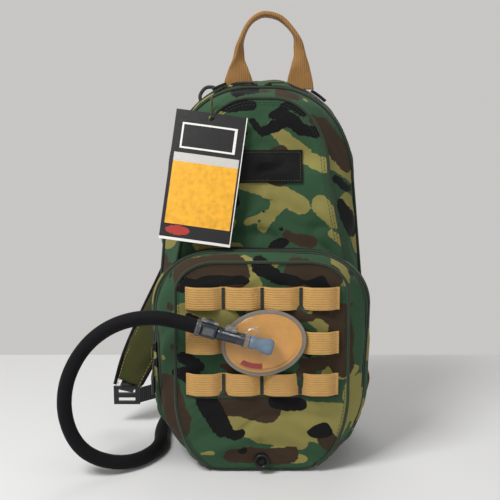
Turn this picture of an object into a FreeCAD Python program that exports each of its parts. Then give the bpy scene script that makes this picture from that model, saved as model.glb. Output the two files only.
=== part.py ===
"""Hydration pack with reservoir, drink tube, bite valve and hang tag.

Millimetres.  X points to the wearer's left when the pack is worn, -Y is the outer face,
Z is up.  The origin lies on the floor under the middle of the main compartment.
"""
import FreeCAD, Part
import math
import os

from FreeCAD import Placement, Rotation, Vector

os.makedirs("parts", exist_ok=True)
doc = FreeCAD.newDocument("hydration_pack")
sheet = doc.addObject("Spreadsheet::Sheet", "sizes")

SIZES = {
    # main compartment: top, shoulder and lower corner of its rear outline
    "body_top": 440, "body_flat": 14, "body_shoulder": 114, "shoulder_height": 326,
    "body_width_low": 131, "low_height": 97, "base_half": 48,
    # stations along Y
    "back_face": 58, "back_seat": 50, "zip_rear": 8, "zip_front": -4,
    "zip_drop": 9, "zip_inset": 6,
    "panel_top_y": -34, "panel_base_y": -58, "panel_top": 416, "panel_shoulder": 76,
    "panel_shoulder_height": 334, "panel_width_low": 123, "panel_thick": 3,
    "cloth": 3, "seam_gap": 0.3,
    # lower pocket
    "pocket_top": 246, "pocket_flat": 50, "pocket_width": 126, "pocket_shoulder": 184,
    "pocket_zip_y": -66, "pocket_zip_rear": 120, "pocket_tape": 8,
    "pocket_face_y": -98, "face_top": 238, "face_width": 94, "face_shoulder": 205,
    "face_low": 90, "boot_height": 90,
    # webbing field
    "web_pitch": 42, "web_width": 25, "web_thick": 1.6, "web_bow": 6.2, "web_rise": 7,
    "row_top": 200, "row_mid": 151, "row_low": 104, "tack_width": 3.4, "tack_raise": 0.8,
    "patch_width": 90, "patch_tall": 37, "patch_thick": 1.4, "patch_middle": 340,
    # grab handle and top tabs
    "handle_middle": 10, "handle_half": 37, "handle_rise": 82, "handle_thick": 5,
    "handle_width": 24, "handle_y": 38, "end_width": 35, "end_length": 26, "skin": 1.6,
    "tab_width": 17, "tab_length": 12,
    # zippers
    "slider_long": 11, "slider_wide": 8, "slider_tall": 4.5, "pull_long": 20, "pull_wide": 5,
    "pull_thick": 1.6, "main_slider_angle": 3.6,
    "pocket_slider_z": 137, "pocket_slider_step": 18, "grip_long": 22, "grip_wide": 11,
    # reservoir
    "bladder_wide": 170, "bladder_tall": 300, "bladder_deep": 24, "bladder_base": 42,
    "bladder_front": 22, "bladder_round": 9, "sleeve_y": 12, "sleeve_top": 236,
    "cap_radius": 42, "cap_deep": 9, "collar_deep": 6, "cap_height": 286, "cap_clear": 0.08,
    "cap_spigot": 33, "tube_radius": 4.5, "outlet_height": 62, "outlet_radius": 8,
    # drink tube and valve
    "hose_radius": 8, "port_radius": 15, "port_deep": 5,
    "lock_long": 20, "lock_tall": 15, "lock_deep": 13, "barrel_radius": 6.5,
    "barrel_long": 30, "lever_long": 20, "bite_radius": 9,
    "card_half_long": 46, "card_half_short": 36, "card_thick": 1.2, "dome_deep": 11,
    # shoulder straps
    "strap_width": 62, "strap_thick": 11, "yoke_height": 394, "yoke_deep": 9, "yoke_half": 78,
    "pad_thick": 10, "lock_width": 34, "webbing_narrow": 20,
    # hang tag
    "tag_width": 80, "tag_tall": 146, "tag_thick": 1.6, "tag_hole": 3,
    "eyelet_outer": 8.5, "eyelet_inner": 5, "eyelet_height": 15,
}
for row, (name, value) in enumerate(SIZES.items(), start=1):
    sheet.set(f"A{row}", name)
    sheet.set(f"B{row}", str(value))
    sheet.setAlias(f"B{row}", name)
doc.recompute()


class Sizes:
    """Reads the driving dimensions back from the sheet."""

    def __getattr__(self, name):
        return float(getattr(sheet, name))


s = Sizes()
nodes = []


def bind(thing, **sizes):
    """Bind properties of a feature to expressions over the sheet's aliases."""
    for prop, text in sizes.items():
        words = text
        for name in sorted(SIZES, key=len, reverse=True):
            words = words.replace(name, f"<<{name}>>")
        for name in SIZES:
            words = words.replace(f"<<{name}>>", f"sizes.{name}")
        thing.setExpression(prop, words)
    return thing


def keep(thing, node, place=None):
    """Name a finished sub-part and put it in its place."""
    thing.Label = node
    if place is not None:
        thing.Placement = place
    nodes.append(thing)
    return thing


def shaped(node, shape):
    """A sub-part whose shape comes from Part's own functions."""
    thing = doc.addObject("Part::Feature", node)
    thing.Shape = shape
    return keep(thing, node)


def primitive(kind, name, place=None, **sizes):
    """A bound Part primitive."""
    thing = bind(doc.addObject(f"Part::{kind}", name), **sizes)
    if place is not None:
        thing.Placement = place
    return thing


def combine(kind, name, base, tool):
    """A Part boolean of two features."""
    thing = doc.addObject(f"Part::{kind}", name)
    thing.Base = base
    thing.Tool = tool
    return thing


def at(x, y, z, axis=Vector(0, 0, 1), degrees=0):
    return Placement(Vector(x, y, z), Rotation(axis, degrees))


def toward(x, y, z, direction):
    """A placement whose local Z points along a direction."""
    return Placement(Vector(x, y, z), Rotation(Vector(0, 0, 1), Vector(*direction)))


def box(x0, x1, y0, y1, z0, z1):
    return Part.makeBox(x1 - x0, y1 - y0, z1 - z0, Vector(x0, y0, z0))


# ---------------------------------------------------------------- sewn outlines

class Outline:
    """A shield: flat top, round shoulders, straight sides, round lower corners, flat base."""

    def __init__(self, flat, top, shoulder, shoulder_z, low, low_z, base, base_z=0.0):
        self.flat, self.top = flat, top
        self.shoulder, self.shoulder_z = shoulder, shoulder_z
        self.low, self.low_z = low, low_z
        self.base, self.base_z = base, base_z

    def grown(self, out):
        """The same outline moved outward by a distance (inward where negative)."""
        return Outline(self.flat, self.top + out, self.shoulder + out, self.shoulder_z,
                       self.low + out, self.low_z, self.base, self.base_z - out)

    def wire(self, y_at):
        """The closed wire, with y_at giving Y for a height."""
        def point(x, z):
            return Vector(x, y_at(z), z)
        turn = math.sqrt(0.5)
        rise = self.top - self.shoulder_z
        upper = (self.flat + (self.shoulder - self.flat) * turn, self.shoulder_z + rise * turn)
        drop = self.low_z - self.base_z
        lower = (self.base + (self.low - self.base) * turn, self.low_z - drop * turn)
        edges = []
        for side in (1, -1):
            corners = [point(side * self.flat, self.top),
                       point(side * upper[0], upper[1]),
                       point(side * self.shoulder, self.shoulder_z),
                       point(side * self.low, self.low_z),
                       point(side * lower[0], lower[1]),
                       point(side * self.base, self.base_z)]
            half = [Part.Arc(*corners[0:3]).toShape(),
                    Part.LineSegment(corners[2], corners[3]).toShape(),
                    Part.Arc(*corners[3:6]).toShape()]
            edges.append((half, corners))
        right, left = edges
        ring = right[0]
        ring.append(Part.LineSegment(right[1][5], left[1][5]).toShape())
        ring += list(reversed(left[0]))
        ring.append(Part.LineSegment(left[1][0], right[1][0]).toShape())
        return Part.Wire(Part.__sortEdges__(ring))


def level(y):
    return lambda z: y


def loft(first, first_y, second, second_y):
    """The ruled solid between two outlines."""
    return Part.makeLoft([first.wire(first_y), second.wire(second_y)], True, True)


def band(first, first_y, second, second_y, wall):
    """A gusset: the ruled wall between two outlines, open at both ends."""
    outer = loft(first, first_y, second, second_y)
    inner = loft(first.grown(-wall), first_y, second.grown(-wall), second_y)
    return outer.cut(inner)


def panel_y(z):
    """The front panel's plane: it leans back toward the top."""
    share = (s.panel_top - z) / s.panel_top
    return s.panel_top_y + (s.panel_base_y - s.panel_top_y) * share


def panel_inner_y(z):
    return panel_y(z) + s.panel_thick


rear = Outline(s.body_flat, s.body_top, s.body_shoulder, s.shoulder_height,
               s.body_width_low, s.low_height, s.base_half)
zipline = Outline(s.body_flat, s.body_top - s.zip_drop, s.body_shoulder - s.zip_inset,
                  s.shoulder_height, s.body_width_low - 1, s.low_height, s.base_half)
ziplip = Outline(s.body_flat, s.body_top - s.zip_drop - 2, s.body_shoulder - s.zip_inset - 1,
                 s.shoulder_height, s.body_width_low - 2, s.low_height, s.base_half)
panel = Outline(s.body_flat, s.panel_top, s.panel_shoulder, s.panel_shoulder_height,
                s.panel_width_low, s.low_height, s.base_half)
pocket = Outline(s.pocket_flat, s.pocket_top, s.pocket_width, s.pocket_shoulder,
                 s.panel_width_low + 1, s.low_height, s.base_half)
pocket_zip = Outline(s.pocket_flat, s.pocket_top - 1, s.pocket_zip_rear, s.pocket_shoulder,
                     s.pocket_zip_rear - 4, s.low_height, s.base_half)
pocket_lip = Outline(s.pocket_flat, s.pocket_top - 2, s.pocket_zip_rear - 3, s.pocket_shoulder,
                     s.pocket_zip_rear - 7, s.low_height, s.base_half)
face = Outline(s.pocket_flat, s.face_top, s.face_width, s.face_shoulder,
               s.face_width + 1, s.face_low, s.base_half - 3, 4)

# ---------------------------------------------------------------- sewn body


rear_ring = band(rear, level(s.back_seat), zipline, level(s.zip_rear), s.cloth)
zip_ring = band(zipline, level(s.zip_rear), ziplip, level(s.zip_front), s.cloth)
arch = box(-400, 400, -200, 200, s.shoulder_height, 900)
shaped("back_panel", loft(rear, level(s.back_face), rear, level(s.back_seat)))
shaped("rear_gusset", rear_ring.fuse(zip_ring.cut(arch)).removeSplitter())
shaped("main_zip_tape", zip_ring.common(arch))
shaped("front_gusset", band(ziplip, level(s.zip_front), panel, panel_inner_y, s.cloth))
shaped("front_panel", loft(panel, panel_inner_y, panel, panel_y))

boot_side = box(-400, 400, -300, 300, -50, s.boot_height)
lower_ring = band(pocket, panel_y, pocket_zip, level(s.pocket_zip_y), s.cloth)
tape_y = s.pocket_zip_y - s.pocket_tape
tape_ring = band(pocket_zip, level(s.pocket_zip_y), pocket_lip, level(tape_y), s.cloth)
face_ring = band(pocket_lip, level(tape_y), face, level(s.pocket_face_y), s.cloth)
face_front = s.pocket_face_y - s.cloth
face_slab = loft(face, level(s.pocket_face_y), face, level(face_front))
boot_ring = tape_ring.fuse(face_ring).common(boot_side)
shaped("pocket_gusset", lower_ring)
shaped("pocket_zip_tape", tape_ring.cut(boot_side))
shaped("pocket_front_gusset", face_ring.cut(boot_side))
shaped("pocket_front_panel", face_slab.cut(boot_side))
shaped("boot_gusset", boot_ring.removeSplitter())
shaped("boot_panel", face_slab.common(boot_side))


def skin(region, inner, outer):
    """A thin layer lying on the main compartment's outside, inside a box."""
    grown = loft(rear.grown(outer), level(s.back_seat), zipline.grown(outer), level(s.zip_rear))
    under = loft(rear.grown(inner), level(s.back_seat), zipline.grown(inner), level(s.zip_rear))
    return grown.cut(under).common(region)


def top_z(x, grow=0.0):
    """Height of the rear outline's arch at an X."""
    line = Part.makeLine(Vector(x, 0, s.shoulder_height), Vector(x, 0, 600))
    place = Part.Face(rear.grown(grow).wire(level(0)))
    return place.common(line).BoundBox.ZMax


def group(node, solids):
    shaped(node, Part.makeCompound(solids))


handle_rear = s.handle_y + s.end_length / 2
handle_front = s.handle_y - s.end_length / 2
ends = []
tabs = []
for side in (-1, 1):
    middle = s.handle_middle + side * s.handle_half
    half = s.end_width / 2
    ends.append(skin(box(middle - half, middle + half, handle_front, handle_rear, 350, 500),
                     s.seam_gap, s.seam_gap + s.skin))
    tab = s.handle_middle + side * (s.handle_half + s.end_width / 2 + s.tab_width / 2 + 2)
    half = s.tab_width / 2
    tabs.append(skin(box(tab - half, tab + half, 14, 14 + s.tab_length, 350, 500),
                     2 * s.seam_gap, 2 * s.seam_gap + s.skin))
group("top_tabs", tabs)

# webbing loops on the lower sides, standing a little off the gusset
loops = []
for side in (-1, 1):
    x = side * (s.body_width_low + 0.05)
    plate = box(min(x, x + side * 2), max(x, x + side * 2), 14, 34, 50, 96)
    loops.append(plate)
group("side_loops", loops)


def bowed_row(node, height):
    """One webbing row: bowed segments between stitched tacks, drawn in plan."""
    count = 4
    start = -s.web_pitch * count / 2
    base = face_front
    line = [(start, base)]
    for number in range(count):
        left = start + number * s.web_pitch
        right = left + s.web_pitch
        foot = s.tack_width / 2 + 0.4
        line += [(left + foot, base), (left + foot + s.web_rise, base - s.web_bow),
                 (right - foot - s.web_rise, base - s.web_bow), (right - foot, base)]
    line.append((start + count * s.web_pitch, base))
    lift = s.web_thick
    outer = [(x, y - lift) for x, y in reversed(line)]
    corners = [Vector(x, y, height - s.web_width / 2) for x, y in line + outer]
    plan = Part.Face(Part.makePolygon(corners + corners[:1]))
    shaped(node, plan.extrude(Vector(0, 0, s.web_width)))


for node, height in (("molle_row_top", s.row_top), ("molle_row_middle", s.row_mid)):
    bowed_row(node, height)
bowed_row("molle_row_bottom", s.row_low)

tacks = []
row_heights = (s.row_top, s.row_mid, s.row_low)
tack_back = face_front - s.web_thick
for height in row_heights:
    for step in (-1, 0, 1):
        x = step * s.web_pitch
        low = height - s.web_width / 2 + 1
        high = height + s.web_width / 2 - 1
        tacks.append(box(x - s.tack_width / 2, x + s.tack_width / 2,
                         tack_back - s.tack_raise, tack_back, low, high))
group("bar_tacks", tacks)

lean = math.degrees(math.atan2(s.panel_top_y - s.panel_base_y, s.panel_top))
patch = primitive("Box", "label_patch", Length="patch_width", Width="patch_thick",
                  Height="patch_tall")
patch_low = s.patch_middle - s.patch_tall / 2
keep(patch, "label_patch",
     at(-s.patch_width / 2 + 2, panel_y(patch_low) - s.patch_thick - 0.1, patch_low,
        Vector(1, 0, 0), -lean))

eyelet_hole = primitive("Cylinder", "eyelet_hole", Radius="eyelet_inner", Height="cloth")
eyelet_ring = primitive("Cylinder", "eyelet_ring", Radius="eyelet_outer", Height="cloth")
eyelet = combine("Cut", "drain_eyelet", eyelet_ring, eyelet_hole)
keep(eyelet, "drain_eyelet", at(0, face_front, s.eyelet_height + 1, Vector(1, 0, 0), 90))

# ---------------------------------------------------------------- back side

port_z = 372.0
port_hole = primitive("Cylinder", "port_hole", Radius="hose_radius", Height="port_deep")
port_ring = primitive("Cylinder", "port_ring", Radius="port_radius", Height="port_deep")
port = combine("Cut", "hose_port", port_ring, port_hole)
keep(port, "hose_port", toward(0, s.back_face, port_z, (0, 1, 0)))

pads = []
for low, high in ((60, 180), (200, 330)):
    pads.append(box(-92, 92, s.back_face, s.back_face + s.pad_thick, low, high))
group("back_pads", pads)

yoke = primitive("Box", "strap_yoke", Length="2 * yoke_half", Width="yoke_deep",
                 Height="strap_thick")
keep(yoke, "strap_yoke", at(-s.yoke_half, s.back_face, s.yoke_height))

anchors = []
for side in (-1, 1):
    x = side * 96
    anchors.append(box(x - 14, x + 14, s.back_face, s.back_face + 3, 37, 60))
group("anchor_tabs", anchors)

# ---------------------------------------------------------------- inside

lining = s.cloth + 2 * s.seam_gap
room = loft(rear.grown(-lining), level(s.back_seat), zipline.grown(-lining), level(s.zip_rear))
shaped("sleeve_divider", room.common(box(-200, 200, s.sleeve_y, s.sleeve_y + 2, 0, s.sleeve_top)))

bladder = doc.addObject("Part::Fillet", "bladder")
bladder_box = primitive("Box", "bladder_box", Length="bladder_wide", Width="bladder_deep",
                        Height="bladder_tall")
doc.recompute()
bladder.Base = bladder_box
bladder.Edges = [(number, s.bladder_round, s.bladder_round) for number in range(1, 13)]
bladder_x = -s.bladder_wide / 2
keep(bladder, "bladder", at(bladder_x, s.bladder_front + 3, s.bladder_base))
bladder_face = s.bladder_front + 3

collar_tube = primitive("Cylinder", "collar_tube", Radius="cap_spigot", Height="collar_deep")
collar_bore = primitive("Cylinder", "collar_bore", Radius="cap_spigot - 3",
                        Height="collar_deep")
collar = combine("Cut", "fill_collar", collar_tube, collar_bore)
keep(collar, "fill_collar", toward(0, bladder_face, s.cap_height, (0, -1, 0)))

cap_disc = primitive("Cylinder", "cap_disc", Radius="cap_radius", Height="cap_deep")
cap_plug = primitive("Cylinder", "cap_plug", Radius="cap_spigot - 3 - cap_clear",
                     Height="collar_deep", place=at(0, 0, -s.collar_deep))
cap = combine("Fuse", "fill_cap", cap_disc, cap_plug)
keep(cap, "fill_cap", toward(0, bladder_face - s.collar_deep - 0.2, s.cap_height, (0, -1, 0)))

outlet_x = -60.0
outlet = primitive("Cylinder", "outlet_fitting", Radius="outlet_radius", Height="outlet_radius")
keep(outlet, "outlet_fitting", toward(outlet_x, bladder_face, s.outlet_height, (0, -1, 0)))

# ---------------------------------------------------------------- round cords

def rounded_path(points):
    """Straight runs joined by tangent arcs, and the arcs' radii."""
    spots = [Vector(*point) for point in points]
    edges = []
    radii = []
    start = spots[0]
    for before, corner, after in zip(spots, spots[1:], spots[2:]):
        arrive = (corner - before).normalize()
        leave = (after - corner).normalize()
        reach = 0.45 * min((corner - before).Length, (after - corner).Length)
        turn = arrive.getAngle(leave)
        radius = reach / math.tan(turn / 2)
        middle = (leave - arrive).normalize()
        sag = radius / math.cos(turn / 2) - radius
        first = corner - arrive * reach
        last = corner + leave * reach
        edges.append(Part.LineSegment(start, first).toShape())
        edges.append(Part.Arc(first, corner + middle * sag, last).toShape())
        radii.append(radius)
        start = last
    edges.append(Part.LineSegment(start, spots[-1]).toShape())
    return Part.Wire(edges), radii


def tube(node, points, radius):
    """A solid tube along a rounded path, with its volume compared with its length."""
    path, radii = rounded_path(points)
    direction = Vector(*points[1]) - Vector(*points[0])
    ring = Part.Wire([Part.makeCircle(radius, Vector(*points[0]), direction)])
    solid = path.makePipeShell([ring], True, True)
    expected = math.pi * radius ** 2 * path.Length
    print(node, "radii", [round(value) for value in radii], "length", round(path.Length),
          "volume ratio", round(solid.Volume / expected, 4))
    shaped(node, solid)


INNER_ROUTE = [(-60, 18.5, 70), (-62, 18.5, 150), (-58, 18.6, 235), (-54, 18.5, 312),
               (-44, 20, 345), (-24, 29, 366), (0, 42, 372), (0, 63, 372)]
HOSE_ROUTE = [
    (0, 63, 372), (0, 84, 372), (-1, 101, 359), (-3, 108, 334), (-4, 108, 290), (-2, 105, 240),
    (-4, 102, 185), (-12, 100, 135), (-30, 98, 92), (-58, 95, 54), (-90, 86, 28),
    (-115, 64, 14), (-124, 32, 9), (-124, -2, 8.9), (-120, -36, 8.6), (-127, -66, 8.7),
    (-144, -90, 9), (-168, -105, 14), (-193, -112, 27), (-208, -115, 48), (-215, -117, 76),
    (-213, -118, 105), (-203, -119, 131), (-187, -121, 154), (-166, -122, 171),
    (-142, -123, 181), (-116, -123, 184), (-91, -121.5, 179.5), (-68, -120, 172)]
tube("inner_tube", INNER_ROUTE, s.tube_radius)
tube("hose", HOSE_ROUTE, s.hose_radius)

# ---------------------------------------------------------------- grab handle

handle_top = s.body_top + s.handle_rise
handle_pivot = s.body_top + 28
round_z = handle_top - s.handle_half - s.handle_thick / 2
half_web = s.handle_width / 2


def hoop(outer, inner, low):
    """A webbing hoop in the XZ plane: two legs and a half round."""
    def solid(radius):
        legs = box(s.handle_middle - radius, s.handle_middle + radius,
                   s.handle_y - half_web, s.handle_y + half_web, low, round_z)
        half = Part.makeCylinder(radius, s.handle_width,
                                 Vector(s.handle_middle, s.handle_y - half_web, round_z),
                                 Vector(0, 1, 0))
        return legs.fuse(half)
    return solid(outer).cut(solid(inner))


outer_half = s.handle_half + s.handle_thick / 2
inner_half = s.handle_half - s.handle_thick / 2
loop = hoop(outer_half, inner_half, handle_pivot)
for side in (-1, 1):
    leg_x = s.handle_middle + side * s.handle_half - s.handle_thick / 2
    loop = loop.fuse(Part.makeCylinder(half_web, s.handle_thick,
                                       Vector(leg_x, s.handle_y, handle_pivot),
                                       Vector(1, 0, 0)))
shaped("grab_handle", loop.removeSplitter())

above_ends = loft(rear.grown(s.skin + 2 * s.seam_gap), level(s.back_seat),
                  zipline.grown(s.skin + 2 * s.seam_gap), level(s.zip_rear))
risers = []
for side in (-1, 1):
    leg_x = s.handle_middle + side * s.handle_half - s.handle_thick / 2
    leg = box(leg_x, leg_x + s.handle_thick, s.handle_y - 8, s.handle_y + 8,
              s.body_top - 30, handle_pivot - half_web - 1.6 * s.seam_gap)
    risers.append(leg.cut(above_ends))
group("handle_ends", ends + risers)

# black hanger loop behind the handle's left end
hanger = primitive("Torus", "hanger_ring", Radius1="10", Radius2="2.2", Angle3="180")
hanger_turn = Rotation(Vector(0, 1, 0), -33).multiply(Rotation(Vector(1, 0, 0), 90))
keep(hanger, "hanger_loop", Placement(Vector(-62.7, 38, 421.8), hanger_turn))

# ---------------------------------------------------------------- zip sliders

ARC_MIDDLE = 8.2
slider_low = s.body_top - s.zip_drop + 0.1
slider_y = (s.zip_rear + s.zip_front) / 2
for side, name in ((-1, "left"), (1, "right")):
    x = side * ARC_MIDDLE
    slider = primitive("Box", f"main_slider_{name}", Length="slider_long",
                       Width="slider_wide", Height="slider_tall")
    keep(slider, f"main_slider_{name}",
         at(x - s.slider_long / 2, slider_y - s.slider_wide / 2, slider_low))
    pull = primitive("Box", f"main_pull_{name}", Length="pull_long", Width="pull_wide",
                     Height="pull_thick")
    start = x if side > 0 else x - s.pull_long
    keep(pull, f"main_pull_{name}",
         at(start, slider_y - s.pull_wide / 2, slider_low + s.slider_tall + 0.3))

tape_mid_y = s.pocket_zip_y - s.pocket_tape / 2
side_slope = 4 / (s.pocket_shoulder - s.low_height)
side_lean = math.degrees(math.atan(side_slope))


def pocket_side_x(z):
    """X of the pocket zip's left side at a height, on its widest edge."""
    return -(s.pocket_zip_rear - 4 + side_slope * (z - s.low_height))


for name, z, long_alias in (("upper", s.pocket_slider_z, "pull_long - 6"),
                            ("lower", s.pocket_slider_z - s.pocket_slider_step, "pull_long")):
    x = pocket_side_x(z) - 0.7
    slider = primitive("Box", f"pocket_slider_{name}", Length="slider_tall",
                       Width="slider_wide", Height="slider_long")
    low = z - s.slider_long / 2
    keep(slider, f"pocket_slider_{name}",
         at(x - s.slider_tall, tape_mid_y - s.slider_wide / 2, low))
    pull = primitive("Box", f"pocket_pull_{name}", Length="pull_thick", Width="pull_wide",
                     Height=long_alias)
    drop = s.pull_long if name == "lower" else s.pull_long - 6
    keep(pull, f"pocket_pull_{name}",
         at(x - s.slider_tall - 0.4 - s.pull_thick, tape_mid_y - s.pull_wide / 2, z - drop))

# ---------------------------------------------------------------- shoulder straps

def section(x, y, z, width):
    """One cross-section of a strap, level and facing back."""
    half = width / 2
    near = y - s.strap_thick / 2
    far = y + s.strap_thick / 2
    corners = [Vector(x - half, near, z), Vector(x + half, near, z),
               Vector(x + half, far, z), Vector(x - half, far, z)]
    return Part.makePolygon(corners + corners[:1])


seat_y = s.back_face + s.yoke_deep + s.seam_gap + s.strap_thick / 2
STRAP_LEFT = [(-52, seat_y, 404, 48), (-56, 97, 350, 54), (-68, 104, 290, 60),
              (-98, 104, 210, 62), (-132, 86.5, 140, 60), (-156, 65, 92, 52),
              (-172, 50, 52, 40)]
STRAP_RIGHT = [(52, seat_y, 404, 48), (54, 97, 350, 54), (60, 104, 290, 60),
               (72, 104, 210, 62), (84, 98, 140, 60), (90, 88, 96, 52), (94, 82, 66, 40)]
LOCK_AT = {"left": (-174, 52, 39.6), "right": (95, 84, 53.6)}
ANCHOR_AT = {"left": (-96, 63, 51), "right": (96, 63, 41)}


def lock_body(node):
    """A ladder lock: a flat plate with two cross slots, drawn in its own XZ plane."""
    body = doc.addObject("PartDesign::Body", node)
    plane = [item for item in body.Origin.OriginFeatures if item.Role == "XZ_Plane"][0]

    def rectangle(name, half_x, half_z, mid_z):
        sketch = body.newObject("Sketcher::SketchObject", name)
        sketch.AttachmentSupport = (plane, [""])
        sketch.MapMode = "FlatFace"
        corners = [Vector(-half_x, mid_z - half_z, 0), Vector(half_x, mid_z - half_z, 0),
                   Vector(half_x, mid_z + half_z, 0), Vector(-half_x, mid_z + half_z, 0)]
        for first, second in zip(corners, corners[1:] + corners[:1]):
            sketch.addGeometry(Part.LineSegment(first, second), False)
        return sketch
    plate = body.newObject("PartDesign::Pad", f"{node}_plate")
    plate.Profile = rectangle(f"{node}_outline", s.lock_width / 2, 12, 0)
    plate.Length = 4
    doc.recompute()
    before = plate.Shape.Volume
    for number, mid in enumerate((-5.5, 5.5)):
        slot = body.newObject("PartDesign::Pocket", f"{node}_slot_{number}")
        slot.Profile = rectangle(f"{node}_opening_{number}", s.webbing_narrow / 2 + 1, 2.5, mid)
        slot.Type = "ThroughAll"
        slot.Midplane = True
        doc.recompute()
    print(node, "volume before and after slots", round(before), round(body.Shape.Volume))
    return body


for name, stations, side in (("left", STRAP_LEFT, -1), ("right", STRAP_RIGHT, 1)):
    wires = [section(*station) for station in stations]
    shaped(f"strap_{name}", Part.makeLoft(wires, True, True))
    lock_x, lock_y, lock_z = LOCK_AT[name]
    keep(lock_body(f"ladder_lock_{name}"), f"ladder_lock_{name}",
         at(lock_x, lock_y, lock_z))
    anchor_x, anchor_y, anchor_z = ANCHOR_AT[name]
    half = s.webbing_narrow / 2
    if name == "left":
        near = anchor_x - 14.3
        outlines = [[Vector(near, anchor_y - 1.7, anchor_z - 2 + z) for z in (-half, half)],
                    [Vector(lock_x + s.lock_width / 2 + 0.3, lock_y - 3, lock_z + z)
                     for z in (-half, half)]]
        plan = []
        for low, high in outlines:
            away = Vector(0, 1.4, 0)
            plan.append(Part.makePolygon([low, high, high + away, low + away, low]))
        shaped("lower_webbing_left", Part.makeLoft(plan, True, True))
    else:
        shaped("lower_webbing_right",
               box(anchor_x - half, anchor_x + half, s.back_face + 3.3, lock_y - 4.3,
                   lock_z - 8, lock_z - 6.6))

# sternum webbing and its buckle halves hang from each strap's rear face
strap_rear = 104 + s.strap_thick / 2 + s.seam_gap
for name, x, buckle in (("left", -83, "male"), ("right", 66, "female")):
    strip = primitive("Box", f"sternum_webbing_{name}", Length="webbing_narrow",
                      Width="web_thick", Height="card_half_long + 20")
    top = 284
    keep(strip, f"sternum_webbing_{name}",
         at(x - s.webbing_narrow / 2, strap_rear, top - s.card_half_long - 20))
    clip = primitive("Box", f"sternum_buckle_{buckle}", Length="webbing_narrow + 6",
                     Width="port_deep", Height="end_length")
    doc.recompute()
    keep(clip, f"sternum_buckle_{buckle}",
         at(x - s.webbing_narrow / 2 - 3, strap_rear - 0.2 + s.web_thick + 0.5,
            top - s.card_half_long - 20 - 4))

# ---------------------------------------------------------------- drink valve

VALVE_START = Vector(*HOSE_ROUTE[-1])
VALVE_TILT = -16.0
VALVE_AXIS = Vector(math.cos(math.radians(VALVE_TILT)), 0, math.sin(math.radians(VALVE_TILT)))
UP_AXIS = Vector(-VALVE_AXIS.z, 0, VALVE_AXIS.x)
END_AXIS = (Vector(*HOSE_ROUTE[-1]) - Vector(*HOSE_ROUTE[-2])).normalize()


def on_valve(along, up=0.0, out=0.0):
    return VALVE_START + VALVE_AXIS * along + UP_AXIS * up + Vector(0, -out, 0)


def valve_box(along, long, deep, up_low, tall, out=0.0):
    """A box square to the valve's axis."""
    solid = Part.makeBox(long, deep, tall, Vector(0, -deep / 2, 0))
    solid.Placement = Placement(on_valve(along, up_low, out),
                                Rotation(Vector(0, 1, 0), -VALVE_TILT))
    return solid


def valve_rod(along, long, radius):
    return Part.makeCylinder(radius, long, on_valve(along), VALVE_AXIS)


hose_end = Part.makeCylinder(s.hose_radius + 4, 6, VALVE_START + END_AXIS * -6, END_AXIS)
lock = valve_box(0.6, s.lock_long, s.lock_deep, -s.lock_tall / 2, s.lock_tall)
shaped("lock_housing", lock.cut(hose_end).removeSplitter())
lever_low = s.lock_tall / 2 + 0.3
shaped("lock_lever", valve_box(2, s.lever_long - 2, 9, lever_low, 4))
barrel_start = 0.6 + s.lock_long
button_room = valve_box(barrel_start + 7.8, 11.4, 8.4, 2.9, 12)
shaped("valve_barrel", valve_rod(barrel_start, s.barrel_long, s.barrel_radius).cut(button_room))
shaped("valve_button", valve_box(barrel_start + 8, 11, 8, 5.2, 4.6))
bite_start = barrel_start + s.barrel_long + 0.2
bite = valve_rod(bite_start, 6, 8)
bite = bite.fuse(valve_rod(bite_start + 6, 20, 6.4))
bite = bite.fuse(valve_rod(bite_start + 26, 4, 8))
shaped("bite_valve", bite.removeSplitter())

card_spot = on_valve(bite_start + 22)
row_front = face_front - s.web_thick - s.web_bow
card_back = row_front - s.seam_gap
CARD_TURN = 12.0


def oval(grow, y):
    """An oval wire in a plane of constant Y, its long axis rising to the right."""
    ellipse = Part.Ellipse(Vector(0, 0, 0), s.card_half_long + grow, s.card_half_short + grow)
    wire = Part.Wire([ellipse.toShape()])
    turn = Rotation(Vector(0, 1, 0), -CARD_TURN).multiply(Rotation(Vector(1, 0, 0), 90))
    wire.Placement = Placement(Vector(card_spot.x, y, card_spot.z), turn)
    return wire


card = Part.Face(oval(0, card_back)).extrude(Vector(0, -s.card_thick, 0))
shaped("valve_card", card)
dome_back = card_back - s.card_thick
dome_front = VALVE_START.y - s.dome_deep
shell = Part.makeLoft([oval(-8, dome_back), oval(-15, dome_front)], True, True)
space = Part.makeLoft([oval(-9, dome_back), oval(-16, dome_front + 1)], True, True)
entry = valve_rod(barrel_start, bite_start - barrel_start + 12, 8.6)
shaped("valve_dome", shell.cut(space).cut(entry))

# ---------------------------------------------------------------- hang tag

TAG_SPOT = Vector(-56, -47.5, 393)
TAG_LEAN = 9.4
TAG_TWIST = 7.8
body = doc.addObject("PartDesign::Body", "hang_tag")
plane = [item for item in body.Origin.OriginFeatures if item.Role == "XZ_Plane"][0]
outline = body.newObject("Sketcher::SketchObject", "tag_outline")
outline.AttachmentSupport = (plane, [""])
outline.MapMode = "FlatFace"
tag_left = -s.tag_width / 2
tag_low = 6 - s.tag_tall
corners = [Vector(tag_left, tag_low, 0), Vector(-tag_left, tag_low, 0),
           Vector(-tag_left, 6, 0), Vector(tag_left, 6, 0)]
for first, second in zip(corners, corners[1:] + corners[:1]):
    outline.addGeometry(Part.LineSegment(first, second), False)
outline.addGeometry(Part.Circle(Vector(0, 0, 0), Vector(0, 0, 1), s.tag_hole), False)
pad = body.newObject("PartDesign::Pad", "tag_card")
pad.Profile = outline
pad.setExpression("Length", "sizes.tag_thick")
doc.recompute()
turn = Rotation(Vector(1, 0, 0), -TAG_LEAN).multiply(Rotation(Vector(0, 1, 0), TAG_TWIST))
keep(body, "hang_tag", Placement(TAG_SPOT, turn))

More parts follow.
